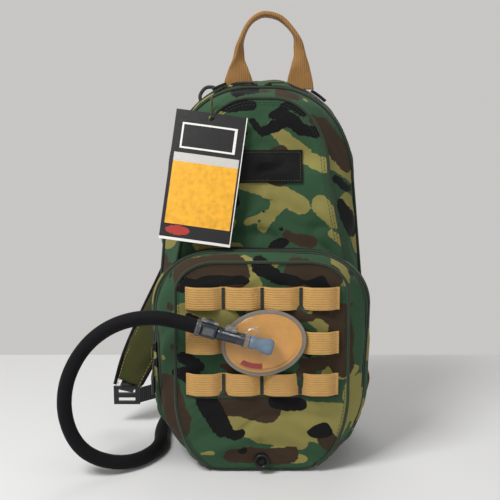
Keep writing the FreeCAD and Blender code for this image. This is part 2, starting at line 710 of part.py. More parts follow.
loop_ring = Part.makeTorus(12, 0.8, TAG_SPOT + Vector(0, 4, 12.9), Vector(1, 0, 0))
clear_body = loft(ziplip.grown(s.seam_gap), level(s.zip_front + s.seam_gap),
                  panel.grown(s.seam_gap), panel_y)
shaped("tag_loop", loop_ring.cut(clear_body))

# the back panel is cut where the tube passes it
back = [item for item in nodes if item.Label == "back_panel"][0]
passage = Part.makeCylinder(s.hose_radius, 40, Vector(0, s.back_seat - 10, port_z),
                            Vector(0, 1, 0))
back.Shape = back.Shape.cut(passage)

# ---------------------------------------------------------------- check and write

doc.recompute()
for item in doc.Objects:
    if "Invalid" in item.State or "Error" in item.State:
        raise RuntimeError(f"{item.Name} failed: {item.State}")
for item in nodes:
    shape = item.Shape
    if shape.isNull() or not shape.isValid() or not shape.Solids:
        raise RuntimeError(f"{item.Label} has no valid solid")
for item in nodes:
    item.Shape.exportStep(f"parts/{item.Label}.step")
print(len(nodes), "nodes written")
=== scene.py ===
"""Hydration pack: the visual model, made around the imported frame."""

import math

import bmesh
import bpy
from mathutils import Matrix, Vector, noise
from mathutils.bvhtree import BVHTree


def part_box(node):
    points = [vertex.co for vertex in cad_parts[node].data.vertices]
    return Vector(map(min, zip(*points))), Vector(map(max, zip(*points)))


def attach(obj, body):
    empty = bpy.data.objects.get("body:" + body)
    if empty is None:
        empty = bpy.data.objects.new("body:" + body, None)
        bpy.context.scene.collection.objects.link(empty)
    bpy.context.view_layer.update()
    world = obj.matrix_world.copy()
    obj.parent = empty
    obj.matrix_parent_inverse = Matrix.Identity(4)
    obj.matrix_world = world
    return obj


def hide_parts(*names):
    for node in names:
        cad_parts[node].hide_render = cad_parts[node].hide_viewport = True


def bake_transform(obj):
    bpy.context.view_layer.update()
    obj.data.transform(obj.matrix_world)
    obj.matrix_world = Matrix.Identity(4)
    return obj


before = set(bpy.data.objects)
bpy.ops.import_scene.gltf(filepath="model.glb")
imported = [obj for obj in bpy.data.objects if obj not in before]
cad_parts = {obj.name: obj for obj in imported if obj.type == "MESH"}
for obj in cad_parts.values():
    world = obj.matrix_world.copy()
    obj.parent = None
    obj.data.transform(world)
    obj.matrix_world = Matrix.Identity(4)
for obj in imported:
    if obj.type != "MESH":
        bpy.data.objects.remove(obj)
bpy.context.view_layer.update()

bl_info = {
    "name": "Hydration Pack",
    "version": (1, 0, 0),
    "blender": (4, 5, 0),
    "location": "View3D > Sidebar > Pack",
    "description": "Makes a camouflage hydration pack around its packed frame",
    "category": "Add Mesh",
}

MM = 0.001


# ------------------------------------------------------------------ colours and materials

def linear(hex_text):
    """An sRGB hex colour as linear RGBA."""
    parts = [int(hex_text[i:i + 2], 16) / 255 for i in (1, 3, 5)]
    return [c / 12.92 if c <= 0.04045 else ((c + 0.055) / 1.055) ** 2.4 for c in parts] + [1.0]


def node(tree, kind, settings=None, **links):
    """Add a node; settings are attributes or input values, links are sockets or values."""
    made = tree.nodes.new(kind)
    for name, value in (settings or {}).items():
        setattr(made, name, value)
    for name, value in links.items():
        key = int(name[1:]) if name[0] == "i" and name[1:].isdigit() else name.replace("_", " ")
        socket = made.inputs[key]
        if isinstance(value, bpy.types.NodeSocket):
            tree.links.new(value, socket)
        else:
            socket.default_value = value
    return made


def material(name, roughness=0.8, metallic=0.0, **uniform):
    """A new material with its principled shader, and its tree."""
    made = bpy.data.materials.new(name)
    made.use_nodes = True
    tree = made.node_tree
    shader = tree.nodes["Principled BSDF"]
    shader.inputs["Roughness"].default_value = roughness
    shader.inputs["Metallic"].default_value = metallic
    for key, value in uniform.items():
        shader.inputs[key.replace("_", " ")].default_value = value
    return made, tree, shader


def place(tree, scale=(1, 1, 1)):
    """Object coordinates, stretched."""
    where = node(tree, "ShaderNodeTexCoord")
    return node(tree, "ShaderNodeMapping", Vector=where.outputs["Object"],
                Scale=scale).outputs["Vector"]


def speckle(tree, size_mm, stretch=(1, 1, 1), detail=2.0):
    """Fine noise whose grain is a size in millimetres."""
    turns = 1.0 / (size_mm * MM)
    return node(tree, "ShaderNodeTexNoise", Vector=place(tree, stretch), Scale=turns,
                Detail=detail).outputs["Fac"]


def shift_color(tree, color, fac, amount):
    """The colour, made darker and lighter by a pattern."""
    light = node(tree, "ShaderNodeMapRange", Value=fac, i3=1 - amount, i4=1 + amount)
    return node(tree, "ShaderNodeVectorMath", {"operation": "SCALE"}, i0=color,
                Scale=light.outputs[0]).outputs[0]


def bump(tree, shader, height, strength, depth_mm):
    made = node(tree, "ShaderNodeBump", Height=height, Strength=strength,
                Distance=depth_mm * MM)
    tree.links.new(made.outputs[0], shader.inputs["Normal"])


def weave(tree, pitch_mm):
    """Crossed threads of a plain weave, as a height."""
    bands = []
    for direction in ("X", "Z"):
        wave = node(tree, "ShaderNodeTexWave", {"bands_direction": direction},
                    Vector=place(tree), Scale=0.32 / (pitch_mm * MM), Distortion=0.6, Detail=1.0)
        bands.append(wave.outputs["Fac"])
    return node(tree, "ShaderNodeMath", {"operation": "MULTIPLY"}, i0=bands[0],
                i1=bands[1]).outputs[0]


def camo_cloth():
    """Coated nylon pack cloth, woven and printed: matt, a fine thread grain, crisp blots; the black
    blots also carry painted shade along the pocket gusset's top.
    """
    made, tree, shader = material("printed_camouflage_nylon", 0.8, Sheen_Weight=0.04,
                                  Specular_IOR_Level=0.15)
    color = node(tree, "ShaderNodeRGB")
    color.outputs[0].default_value = linear("#314F37")
    current = color.outputs[0]
    ragged = speckle(tree, 5.0, detail=3.0)
    for name, tone in (("khaki", "#8A834A"), ("brown", "#3B2E22"), ("black", "#0F0F10")):
        field = node(tree, "ShaderNodeAttribute", {"attribute_name": f"camo_{name}"})
        rough = node(tree, "ShaderNodeMath", {"operation": "MULTIPLY_ADD"}, i0=ragged, i1=5.0,
                     i2=field.outputs["Fac"])
        edge = node(tree, "ShaderNodeMapRange", Value=rough.outputs[0], i1=2.75, i2=2.25,
                    i3=0.0, i4=1.0)
        mixed = node(tree, "ShaderNodeMix", {"data_type": "RGBA"}, i0=edge.outputs[0],
                     i6=current, i7=linear(tone))
        current = mixed.outputs[2]
    threads = weave(tree, 1.1)
    tinted = shift_color(tree, current, threads, 0.14)
    tinted = shift_color(tree, tinted, speckle(tree, 28), 0.12)
    tree.links.new(tinted, shader.inputs["Base Color"])
    bump(tree, shader, threads, 0.5, 0.25)
    return made


def plain_cloth(name, tone, pitch_mm=1.1, roughness=0.8, change=0.2, sheen=0.2):
    """Woven cloth in one dye, with thread grain and worn patches."""
    made, tree, shader = material(name, roughness, Sheen_Weight=sheen,
                                  Specular_IOR_Level=0.15)
    threads = weave(tree, pitch_mm)
    base = node(tree, "ShaderNodeRGB")
    base.outputs[0].default_value = linear(tone)
    tinted = shift_color(tree, base.outputs[0], threads, change)
    tinted = shift_color(tree, tinted, speckle(tree, 14), 0.15)
    tree.links.new(tinted, shader.inputs["Base Color"])
    bump(tree, shader, threads, 0.6, 0.3)
    return made


def webbing(name, tone, along="X", roughness=0.7):
    """Heavy nylon webbing: ribs run along it and cross threads break them up."""
    made, tree, shader = material(name, roughness, Sheen_Weight=0.08)
    across = {"X": "Z", "Z": "X", "Y": "X"}[along]
    ribs = node(tree, "ShaderNodeTexWave", {"bands_direction": across}, Vector=place(tree),
                Scale=0.32 / (2.6 * MM), Distortion=0.4, Detail=1.0).outputs["Fac"]
    picks = node(tree, "ShaderNodeTexWave", {"bands_direction": along}, Vector=place(tree),
                 Scale=0.32 / (1.3 * MM), Distortion=0.8, Detail=1.0).outputs["Fac"]
    height = node(tree, "ShaderNodeMath", {"operation": "MULTIPLY_ADD"}, i0=picks, i1=0.4,
                  i2=ribs).outputs[0]
    base = node(tree, "ShaderNodeRGB")
    base.outputs[0].default_value = linear(tone)
    tinted = shift_color(tree, base.outputs[0], height, 0.09)
    tinted = shift_color(tree, tinted, speckle(tree, 9), 0.12)
    tree.links.new(tinted, shader.inputs["Base Color"])
    bump(tree, shader, height, 0.7, 0.4)
    return made


def moulded(name, tone, roughness=0.45, metallic=0.0, grain_mm=0.8, change=0.1, **uniform):
    """Moulded or cast material with a fine grain and slight handling wear."""
    made, tree, shader = material(name, roughness, metallic, **uniform)
    base = node(tree, "ShaderNodeRGB")
    base.outputs[0].default_value = linear(tone)
    tinted = shift_color(tree, base.outputs[0], speckle(tree, 6), change)
    tree.links.new(tinted, shader.inputs["Base Color"])
    grain = speckle(tree, grain_mm)
    uneven = node(tree, "ShaderNodeMapRange", Value=speckle(tree, 4),
                  i3=roughness * 0.8, i4=min(1.0, roughness * 1.25))
    tree.links.new(uneven.outputs[0], shader.inputs["Roughness"])
    bump(tree, shader, grain, 0.15, 0.1)
    return made


MATERIALS = {}


def make_materials():
    """Every finish on the pack, by a maker's name for it."""
    MATERIALS.update({
        "camo": camo_cloth(),
        "mesh": plain_cloth("knitted_spacer_mesh", "#26272A", 2.6, 0.9, 0.55),
        "olive": plain_cloth("olive_pack_cloth", "#3F4121", 1.2, sheen=0.05),
        "binding": plain_cloth("black_binding_tape", "#141416", 1.4, 0.75, sheen=0.03),
        "edging": plain_cloth("green_binding_tape", "#2C3A2A", 1.4, 0.75),
        "tan": webbing("coyote_webbing", "#B98E4E"),
        "handle": webbing("coyote_handle_webbing", "#8E6530", "Z"),
        "black_web": webbing("black_webbing_tape", "#1D1D20", "Z"),
        "tape": plain_cloth("zip_tape", "#121214", 0.9, 0.7, sheen=0.03),
        "thread": moulded("bonded_nylon_thread", "#1C2420", 0.5, change=0.3),
        "pale_thread": moulded("tan_nylon_thread", "#B08C55", 0.55, change=0.3),
        "coil": moulded("nylon_zip_coil", "#151517", 0.35),
        "metal": moulded("painted_zinc", "#222224", 0.4, 0.6),
        "cord": plain_cloth("braided_olive_cord", "#4F4D28", 1.0, 0.75),
        "acetal": moulded("moulded_black_acetal", "#17171A", 0.42),
        "sleeve": plain_cloth("neoprene_hose_sleeve", "#0C0C10", 1.3, 0.75, 0.25, 0.02),
        "rubber": moulded("moulded_black_rubber", "#1A1A1B", 0.7),
        "clear": moulded("clear_polycarbonate", "#E8ECEE", 0.08, change=0.02,
                         Transmission_Weight=0.92, IOR=1.5),
        "smoke": moulded("smoked_polycarbonate", "#2B3640", 0.15, change=0.05,
                         Transmission_Weight=0.35, IOR=1.5),
        "dome": moulded("vacuum_formed_clear_film", "#5A6068", 0.04, change=0.01, Alpha=0.08,
                        Specular_IOR_Level=0.9),
        "silicone": moulded("blue_silicone", "#8CA6BF", 0.15, change=0.1,
                            Transmission_Weight=0.45, IOR=1.41),
        "film": moulded("welded_blue_film", "#7FA9CC", 0.25, change=0.1,
                        Transmission_Weight=0.4, IOR=1.45),
        "ink_black": moulded("black_print_on_card", "#17171A", 0.4),
        "ink_white": moulded("white_card", "#E6E4DF", 0.5, change=0.04),
        "ink_grey": moulded("grey_print_on_card", "#C4C2BC", 0.45, change=0.05),
        "ink_yellow": moulded("yellow_print_on_card", "#E8A930", 0.42, change=0.35),
        "ink_orange": moulded("orange_print_on_card", "#E3A552", 0.42, change=0.12),
        "ink_red": moulded("red_print_on_card", "#A8322B", 0.42, change=0.06),
        "rim_grey": moulded("warm_grey_card_rim", "#80776D", 0.5, change=0.06),
    })


# ------------------------------------------------------------------ mesh helpers

def finish(made, body, slot, *nodes, smooth=True, blend=None):
    """Give a new piece its body and hide the nodes that it stands for; its slot is not used."""
    if smooth:
        made.data.polygons.foreach_set("use_smooth", [True] * len(made.data.polygons))
    if nodes:
        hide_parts(*nodes)
    if blend:
        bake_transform(made)
    else:
        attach(made, body)
    return made


def mesh_object(name, verts, faces, mats, face_mats=None):
    """A mesh in millimetres, turned into an object in metres."""
    data = bpy.data.meshes.new(name)
    data.from_pydata([Vector(v) * MM for v in verts], [], faces)
    for key in ([mats] if isinstance(mats, str) else mats):
        data.materials.append(MATERIALS[key])
    if face_mats:
        data.polygons.foreach_set("material_index", face_mats)
    data.update()
    made = bpy.data.objects.new(name, data)
    bpy.context.scene.collection.objects.link(made)
    return made


def tidy_normals(made):
    work = bmesh.new()
    work.from_mesh(made.data)
    bmesh.ops.remove_doubles(work, verts=work.verts, dist=1e-6)
    bmesh.ops.recalc_face_normals(work, faces=work.faces)
    work.to_mesh(made.data)
    work.free()
    return made


def modifier(made, kind, **settings):
    added = made.modifiers.new(kind.title(), kind)
    for name, value in settings.items():
        setattr(added, name, value)
    return added


def baked(made):
    """The object with its modifiers applied."""
    bpy.context.view_layer.update()
    deps = bpy.context.evaluated_depsgraph_get()
    data = bpy.data.meshes.new_from_object(made.evaluated_get(deps))
    made.modifiers.clear()
    made.data = data
    return made


def smooth_path(points, steps=8, closed=False):
    """A Catmull-Rom line through points."""
    spots = [Vector(p) for p in points]
    count = len(spots)
    line = []
    spans = count if closed else count - 1
    for i in range(spans):
        if closed:
            a, b, c, d = (spots[(i + k) % count] for k in (-1, 0, 1, 2))
        else:
            a, b = spots[max(i - 1, 0)], spots[i]
            c, d = spots[i + 1], spots[min(i + 2, count - 1)]
        for k in range(steps):
            t = k / steps
            line.append(0.5 * (2 * b + (c - a) * t + (2 * a - 5 * b + 4 * c - d) * t * t
                               + (3 * b - a - 3 * c + d) * t ** 3))
    if not closed:
        line.append(spots[-1])
    return line


def sweep(name, line, sides, half_sizes, mats, closed=False, power=2.0, segments=16):
    """Sweep a rounded section along a line.

    sides gives the direction of the section's wide axis, half_sizes its (wide, thin) halves;
    power 2 is an ellipse and larger is squarer.
    """
    count = len(line)
    verts = []
    for i, spot in enumerate(line):
        ahead = line[(i + 1) % count] if closed or i + 1 < count else line[i]
        behind = line[i - 1] if closed or i > 0 else line[i]
        tangent = (ahead - behind).normalized()
        wide = sides[i] if isinstance(sides, list) else Vector(sides)
        wide = (wide - tangent * wide.dot(tangent)).normalized()
        thin = tangent.cross(wide)
        a, b = half_sizes[i] if isinstance(half_sizes, list) else half_sizes
        for k in range(segments):
            angle = 2 * math.pi * k / segments
            c, s = math.cos(angle), math.sin(angle)
            u = math.copysign(abs(c) ** (2 / power), c) * a
            v = math.copysign(abs(s) ** (2 / power), s) * b
            verts.append(spot + wide * u + thin * v)
    faces = []
    for i in range(count if closed else count - 1):
        j = (i + 1) % count
        for k in range(segments):
            n = (k + 1) % segments
            faces.append((i * segments + k, i * segments + n, j * segments + n, j * segments + k))
    if not closed:
        faces.append(tuple(reversed(range(segments))))
        faces.append(tuple(range((count - 1) * segments, count * segments)))
    made = mesh_object(name, verts, faces, mats)
    return tidy_normals(made)


def lathe(name, origin, axis, profile, mats, segments=40):
    """Spin (along, radius) pairs about an axis."""
    axis = Vector(axis).normalized()
    side = axis.orthogonal().normalized()
    other = axis.cross(side)
    verts = []
    for along, radius in profile:
        for k in range(segments):
            angle = 2 * math.pi * k / segments
            verts.append(Vector(origin) + axis * along
                         + (side * math.cos(angle) + other * math.sin(angle)) * radius)
    faces = []
    for i in range(len(profile) - 1):
        for k in range(segments):
            n = (k + 1) % segments
            faces.append((i * segments + k, i * segments + n,
                          (i + 1) * segments + n, (i + 1) * segments + k))
    if profile[0][1] > 0.01 and profile[0] != profile[-1]:
        faces.append(tuple(reversed(range(segments))))
        faces.append(tuple(range((len(profile) - 1) * segments, len(profile) * segments)))
    return tidy_normals(mesh_object(name, verts, faces, mats))


def block(name, origin, axes, size, mats, bevel=1.0):
    """A bevelled block about its middle; axes are its three directions."""
    half = [v / 2 for v in size]
    verts = []
    for x in (-1, 1):
        for y in (-1, 1):
            for z in (-1, 1):
                verts.append(Vector(origin) + Vector(axes[0]) * x * half[0]
                             + Vector(axes[1]) * y * half[1] + Vector(axes[2]) * z * half[2])
    faces = [(0, 1, 3, 2), (4, 6, 7, 5), (0, 4, 5, 1), (2, 3, 7, 6), (0, 2, 6, 4), (1, 5, 7, 3)]
    made = tidy_normals(mesh_object(name, verts, faces, mats))
    modifier(made, "BEVEL", width=bevel * MM, segments=3)
    return baked(made)


def joined(name, parts):
    """Several meshes as one object, keeping their materials."""
    work = bmesh.new()
    mats = []
    for part in parts:
        shift = []
        for mat in part.data.materials:
            if mat not in mats:
                mats.append(mat)
            shift.append(mats.index(mat))
        start = len(work.faces)
        work.from_mesh(part.data)
        work.faces.ensure_lookup_table()
        for face in work.faces[start:]:
            face.material_index = shift[face.material_index]
    data = bpy.data.meshes.new(name)
    work.to_mesh(data)
    work.free()
    for mat in mats:
        data.materials.append(mat)
    for part in parts:
        bpy.data.objects.remove(part)
    made = bpy.data.objects.new(name, data)
    bpy.context.scene.collection.objects.link(made)
    return made


# ------------------------------------------------------------------ repeated pieces

def row_tree():
    """Geometry nodes: small rounded pieces laid end to end along a line."""
    tree = bpy.data.node_groups.new("laid_along_line", "GeometryNodeTree")
    face = tree.interface
    face.new_socket("Geometry", in_out="OUTPUT", socket_type="NodeSocketGeometry")
    face.new_socket("Geometry", in_out="INPUT", socket_type="NodeSocketGeometry")
    face.new_socket("Spacing", in_out="INPUT", socket_type="NodeSocketFloat")
    face.new_socket("Size", in_out="INPUT", socket_type="NodeSocketVector")
    face.new_socket("Finish", in_out="INPUT", socket_type="NodeSocketMaterial")
    start = node(tree, "NodeGroupInput")
    curve = node(tree, "GeometryNodeMeshToCurve", Mesh=start.outputs["Geometry"])
    spots = node(tree, "GeometryNodeResampleCurve", {"mode": "LENGTH"},
                 Curve=curve.outputs[0], Length=start.outputs["Spacing"])
    tangent = node(tree, "GeometryNodeInputTangent")
    turn = node(tree, "FunctionNodeAlignRotationToVector", {"axis": "X"},
                Vector=tangent.outputs[0])
    piece = node(tree, "GeometryNodeMeshUVSphere", Segments=8, Rings=5, Radius=0.5)
    laid = node(tree, "GeometryNodeInstanceOnPoints", Points=spots.outputs[0],
                Instance=piece.outputs[0], Rotation=turn.outputs[0],
                Scale=start.outputs["Size"])
    real = node(tree, "GeometryNodeRealizeInstances", Geometry=laid.outputs[0])
    done = node(tree, "GeometryNodeSetMaterial", Geometry=real.outputs[0],
                Material=start.outputs["Finish"])
    end = node(tree, "NodeGroupOutput")
    tree.links.new(done.outputs[0], end.inputs[0])
    return tree


def laid_row(name, lines, spacing, size, finish_key, closed=False):
    """Pieces of one size along each of several lines, in millimetres."""
    tree = bpy.data.node_groups.get("laid_along_line") or row_tree()
    verts = []
    edges = []
    for line in lines:
        first = len(verts)
        verts += [Vector(p) * MM for p in line]
        edges += [(first + i, first + i + 1) for i in range(len(line) - 1)]
        if closed:
            edges.append((len(verts) - 1, first))
    data = bpy.data.meshes.new(name)
    data.from_pydata(verts, edges, [])
    made = bpy.data.objects.new(name, data)
    bpy.context.scene.collection.objects.link(made)
    added = made.modifiers.new("laid", "NODES")
    values = {"Spacing": spacing * MM, "Size": [v * MM for v in size],
              "Finish": MATERIALS[finish_key]}
    added.node_group = tree
    for item in tree.interface.items_tree:
        if item.item_type == "SOCKET" and item.in_out == "INPUT" and item.name in values:
            added[item.identifier] = values[item.name]
    return baked(made)


# ------------------------------------------------------------------ the sewn shell

class Shield:
    """An outline: flat top, round shoulders, straight sides, round lower corners, flat base."""

    def __init__(self, flat, top, shoulder, shoulder_z, low, low_z, base, base_z=0.0):
        self.parts = (flat, top, shoulder, shoulder_z, low, low_z, base, base_z)

    def grown(self, out):
        flat, top, shoulder, shoulder_z, low, low_z, base, base_z = self.parts
        return Shield(flat, top + out, shoulder + out, shoulder_z, low + out, low_z, base,
                      base_z - out)

    def ring(self, count):
        """Evenly spaced (x, z) points, clockwise from the middle of the top."""
        flat, top, shoulder, shoulder_z, low, low_z, base, base_z = self.parts
        half = [(0, top), (flat, top)]
        steps = 24
        for i in range(1, steps + 1):
            a = math.pi / 2 * i / steps
            half.append((flat + (shoulder - flat) * math.sin(a),
                         shoulder_z + (top - shoulder_z) * math.cos(a)))
        half.append((low, low_z))
        for i in range(1, steps + 1):
            a = math.pi / 2 * i / steps
            half.append((base + (low - base) * math.cos(a), low_z - (low_z - base_z) * math.sin(a)))
        half.append((0, base_z))
        loop = half + [(-x, z) for x, z in reversed(half[1:-1])]
        loop.append(loop[0])
        lengths = [0.0]
        for p, q in zip(loop, loop[1:]):
            lengths.append(lengths[-1] + math.dist(p, q))
        spots = []
        at = 0
        for i in range(count):
            want = lengths[-1] * i / count
            while lengths[at + 1] < want:
                at += 1
            share = (want - lengths[at]) / max(lengths[at + 1] - lengths[at], 1e-9)
            p, q = loop[at], loop[at + 1]
            spots.append((p[0] + (q[0] - p[0]) * share, p[1] + (q[1] - p[1]) * share))
        return spots


def corner(node_name, which):
    """A node's lowest (0) or highest (1) corner in millimetres."""
    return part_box(node_name)[which] / MM


REAR_LOW = corner("back_panel", 1)
BACK_Y = REAR_LOW.y
SEAT_Y = corner("rear_gusset", 1).y
ZIP_BACK = corner("main_zip_tape", 1).y
ZIP_FRONT = corner("main_zip_tape", 0).y
TOP = REAR_LOW.z
HALF = REAR_LOW.x
ARCH_Z = 326.0
LOW_Z = 97.0
BASE = 48.0
REAR = Shield(14, TOP, HALF - 17, ARCH_Z, HALF, LOW_Z, BASE)
ZIP = Shield(14, TOP - 9, HALF - 23, ARCH_Z, HALF - 1, LOW_Z, BASE)
LIP = Shield(14, TOP - 11, HALF - 24, ARCH_Z, HALF - 2, LOW_Z, BASE)
PANEL_TOP = corner("front_panel", 1).z
PANEL_Y = (-34.0, -58.0)
PANEL = Shield(14, PANEL_TOP, 76, 334, HALF - 8, LOW_Z, BASE)
POCKET_TOP = corner("pocket_gusset", 1).z
POCKET = Shield(50, POCKET_TOP, 126, 184, HALF - 7, LOW_Z, BASE)
POCKET_ZIP_Y = corner("pocket_zip_tape", 1).y
POCKET_LIP_Y = corner("pocket_zip_tape", 0).y
POCKET_ZIP = Shield(50, POCKET_TOP - 1, 120, 184, 116, LOW_Z, BASE)
POCKET_LIP = Shield(50, POCKET_TOP - 2, 117, 184, 113, LOW_Z, BASE)
FACE_Y = corner("pocket_front_gusset", 0).y
FACE = Shield(50, 238, 94, 205, 95, 90, BASE - 3, 4)
SEAM_Z = corner("boot_panel", 1).z


def panel_y(z):
    """The front panel leans back toward the top."""
    return PANEL_Y[0] + (PANEL_Y[1] - PANEL_Y[0]) * (PANEL_TOP - z) / PANEL_TOP


def level(y):
    return lambda z: y


# printed blots, and a band of painted shade along the pocket gusset's top: colour, then capsules of
# (x, z) to (x, z) with a radius, on each panel
BLOTS = {
    "panel": {
        "khaki": [(14, 384, 32, 364, 8), (32, 364, 50, 351, 9), (50, 351, 72, 341, 7),
                  (-23, 322, 25, 307, 8), (25, 307, 46, 296, 10), (25, 303, 2, 272, 8),
                  (66, 297, 84, 280, 9), (80, 262, 98, 252, 5), (-61, 402, -44, 402, 5),
                  (-60, 300, -40, 276, 12), (-70, 250, -30, 246, 8)],
        "brown": [(-40, 345, -66, 330, 12), (-75, 280, -80, 262, 9), (30, 262, 58, 254, 6)],
        "black": [(-10, 390, 0, 379, 6), (0, 379, 17, 386, 7), (17, 386, 31, 394, 7),
                  (31, 394, 47, 380, 6), (47, 380, 62, 378, 5), (11, 396, 31, 409, 5),
                  (31, 409, 47, 402, 5), (-43, 408, -10, 408, 6), (-50, 318, -30, 300, 8)]},
    "gusset": {
        "khaki": [(80, 346, 110, 330, 7), (98, 300, 112, 262, 8), (112, 262, 116, 243, 8),
                  (-96, 300, -112, 250, 10), (-60, 392, -80, 372, 8), (118, 140, 122, 110, 12)],
        "brown": [(66, 384, 86, 364, 13), (86, 364, 102, 344, 12), (-100, 350, -90, 320, 12),
                  (-116, 220, -122, 180, 12), (122, 205, 124, 175, 10), (20, 424, 40, 418, 6)],
        "black": [(84, 326, 102, 314, 6), (92, 298, 108, 262, 5), (-108, 288, -112, 268, 9),
                  (-30, 424, -8, 428, 6), (126, 90, 112, 60, 12)]},
    "pocket": {
        "khaki": [(-18, 234, -10, 214, 8), (-84, 182, -36, 172, 13), (-26, 62, 30, 54, 17),
                  (30, 58, 78, 60, 22), (0, 44, 40, 36, 12), (104, 100, 108, 64, 13),
                  (84, 236, 90, 220, 8), (58, 178, 74, 168, 10), (-8, 182, 16, 172, 9)],
        "brown": [(-80, 226, -34, 226, 17), (36, 226, 72, 222, 15), (-34, 80, 8, 74, 15),
                  (84, 176, 88, 126, 14), (-104, 92, -96, 50, 16), (-34, 20, 34, 20, 9),
                  (70, 44, 80, 30, 10), (-62, 160, -44, 156, 9), (46, 126, 64, 124, 8)],
        "black": [(-2, 232, 14, 224, 10), (16, 84, 42, 80, 7), (-60, 82, -42, 52, 12),
                  (-80, 176, -66, 170, 6), (30, 150, 50, 140, 7), (-86, 132, -70, 122, 8)]},
    "side": {
        "khaki": [(-40, 249, 28, 248, 8), (-113, 216, -116, 192, 11), (98, 80, 112, 60, 14),
                  (116, 150, 114, 128, 10), (-116, 120, -110, 96, 10)],
        "brown": [(112, 206, 114, 160, 12), (-90, 236, -104, 226, 10), (-20, 246, 10, 244, 4),
                  (-112, 168, -112, 150, 10), (90, 40, 70, 20, 14)],
        # the first three black capsules are painted shade: the shadow under the front panel's
        # overhang, along the gusset's top
        "black": [(-112, 240, 112, 240, 9), (-60, 248, 60, 248, 8), (32, 248, 80, 240, 7),
                  (-116, 146, -113, 132, 9), (-80, 60, -60, 20, 10)]},
}
SEEDS = {"khaki": 3.0, "brown": 17.0, "black": 41.0}


def blot_distance(x, z, blots):
    near = 99.0
    for x0, z0, x1, z1, radius in blots:
        along = Vector((x1 - x0, z1 - z0))
        share = max(0.0, min(1.0, Vector((x - x0, z - z0)).dot(along) / along.length_squared))
        near = min(near, math.dist((x, z), (x0 + along.x * share, z0 + along.y * share)) - radius)
    return near


def print_camo_and_painted_shade(made, panel_name):
    """Store how far each point is from each printed blot or painted shade band, in millimetres."""
    blots = BLOTS.get(panel_name)
    verts = made.data.vertices
    for color, seed in SEEDS.items():
        values = []
        for vert in verts:
            x, y, z = vert.co / MM
            spot = Vector((x * 0.021 + seed, y * 0.021, z * 0.030 + seed))
            wander = noise.noise(spot) + 0.45 * noise.noise(spot * 2.3)
            if blots:
                value = blot_distance(x, z, blots[color]) + 5.0 * wander
                value = min(value, (0.52 - wander) * 60)
            else:
                value = (0.17 - wander) * 60
            values.append(value)
        layer = made.data.attributes.new(f"camo_{color}", "FLOAT", "POINT")
        layer.data.foreach_set("value", values)


def ripple(x, y, z, depth):
    """Soft folds of slack cloth, longest across the pack."""
    slant = z + 0.35 * abs(x)
    spot = Vector((x * 0.011, y * 0.02, slant * 0.024))
    fine = Vector((x * 0.03, y * 0.05, slant * 0.055))
    crease = 1 - abs(noise.noise(Vector((x * 0.010 + 9, y * 0.02, slant * 0.030))) * 2.2)
    return 1.5 * depth * (1.7 * noise.noise(spot) + 0.6 * noise.noise(fine)
                    - 0.9 * max(0.0, crease - 0.55))


AROUND = 320


def strip(name, first, first_y, second, second_y, mats, puff=2.0, folds=1.0, across=12,
          keep=None, wall=1.6):
    """A band of cloth between two outlines, puffed out and softly folded."""
    a, b = first.ring(AROUND), second.ring(AROUND)
    middle = Vector((0, 0, 200))
    verts = []
    for j in range(across + 1):
        t = j / across
        for (x0, z0), (x1, z1) in zip(a, b):
            x, z = x0 + (x1 - x0) * t, z0 + (z1 - z0) * t
            y = first_y(z0) + (second_y(z1) - first_y(z0)) * t
            out = Vector((x, 0, (z - middle.z) * 0.6)).normalized()
            lift = math.sin(math.pi * t)
            grow = puff * lift ** 0.7 + ripple(x, y, z, folds) * lift
            if z < 14:
                grow *= max(0.0, z - 2) / 12
            verts.append((x + out.x * grow, y, z + out.z * grow))
    faces = []
    for j in range(across):
        for i in range(AROUND):
            n = (i + 1) % AROUND
            quad = (j * AROUND + i, j * AROUND + n, (j + 1) * AROUND + n, (j + 1) * AROUND + i)
            if keep is None or all(keep(*verts[k]) for k in quad):
                faces.append(quad)
    made = mesh_object(name, verts, faces, mats)
    drop_loose(made)
    modifier(made, "SOLIDIFY", thickness=wall * MM, offset=-1 if facing_out(made) else 1)
    return baked(made)


def drop_loose(made):
    work = bmesh.new()
    work.from_mesh(made.data)
    loose = [v for v in work.verts if not v.link_faces]
    bmesh.ops.delete(work, geom=loose, context="VERTS")
    bmesh.ops.recalc_face_normals(work, faces=work.faces)
    work.to_mesh(made.data)
    work.free()


def facing_out(made):
    """Whether a band's faces point away from the pack's middle line; they are turned if not."""
    total = 0.0
    for face in made.data.polygons:
        total += Vector((face.center.x, 0, face.center.z - 200 * MM)).dot(face.normal) * face.area
    if total < 0:
        made.data.flip_normals()
    return True


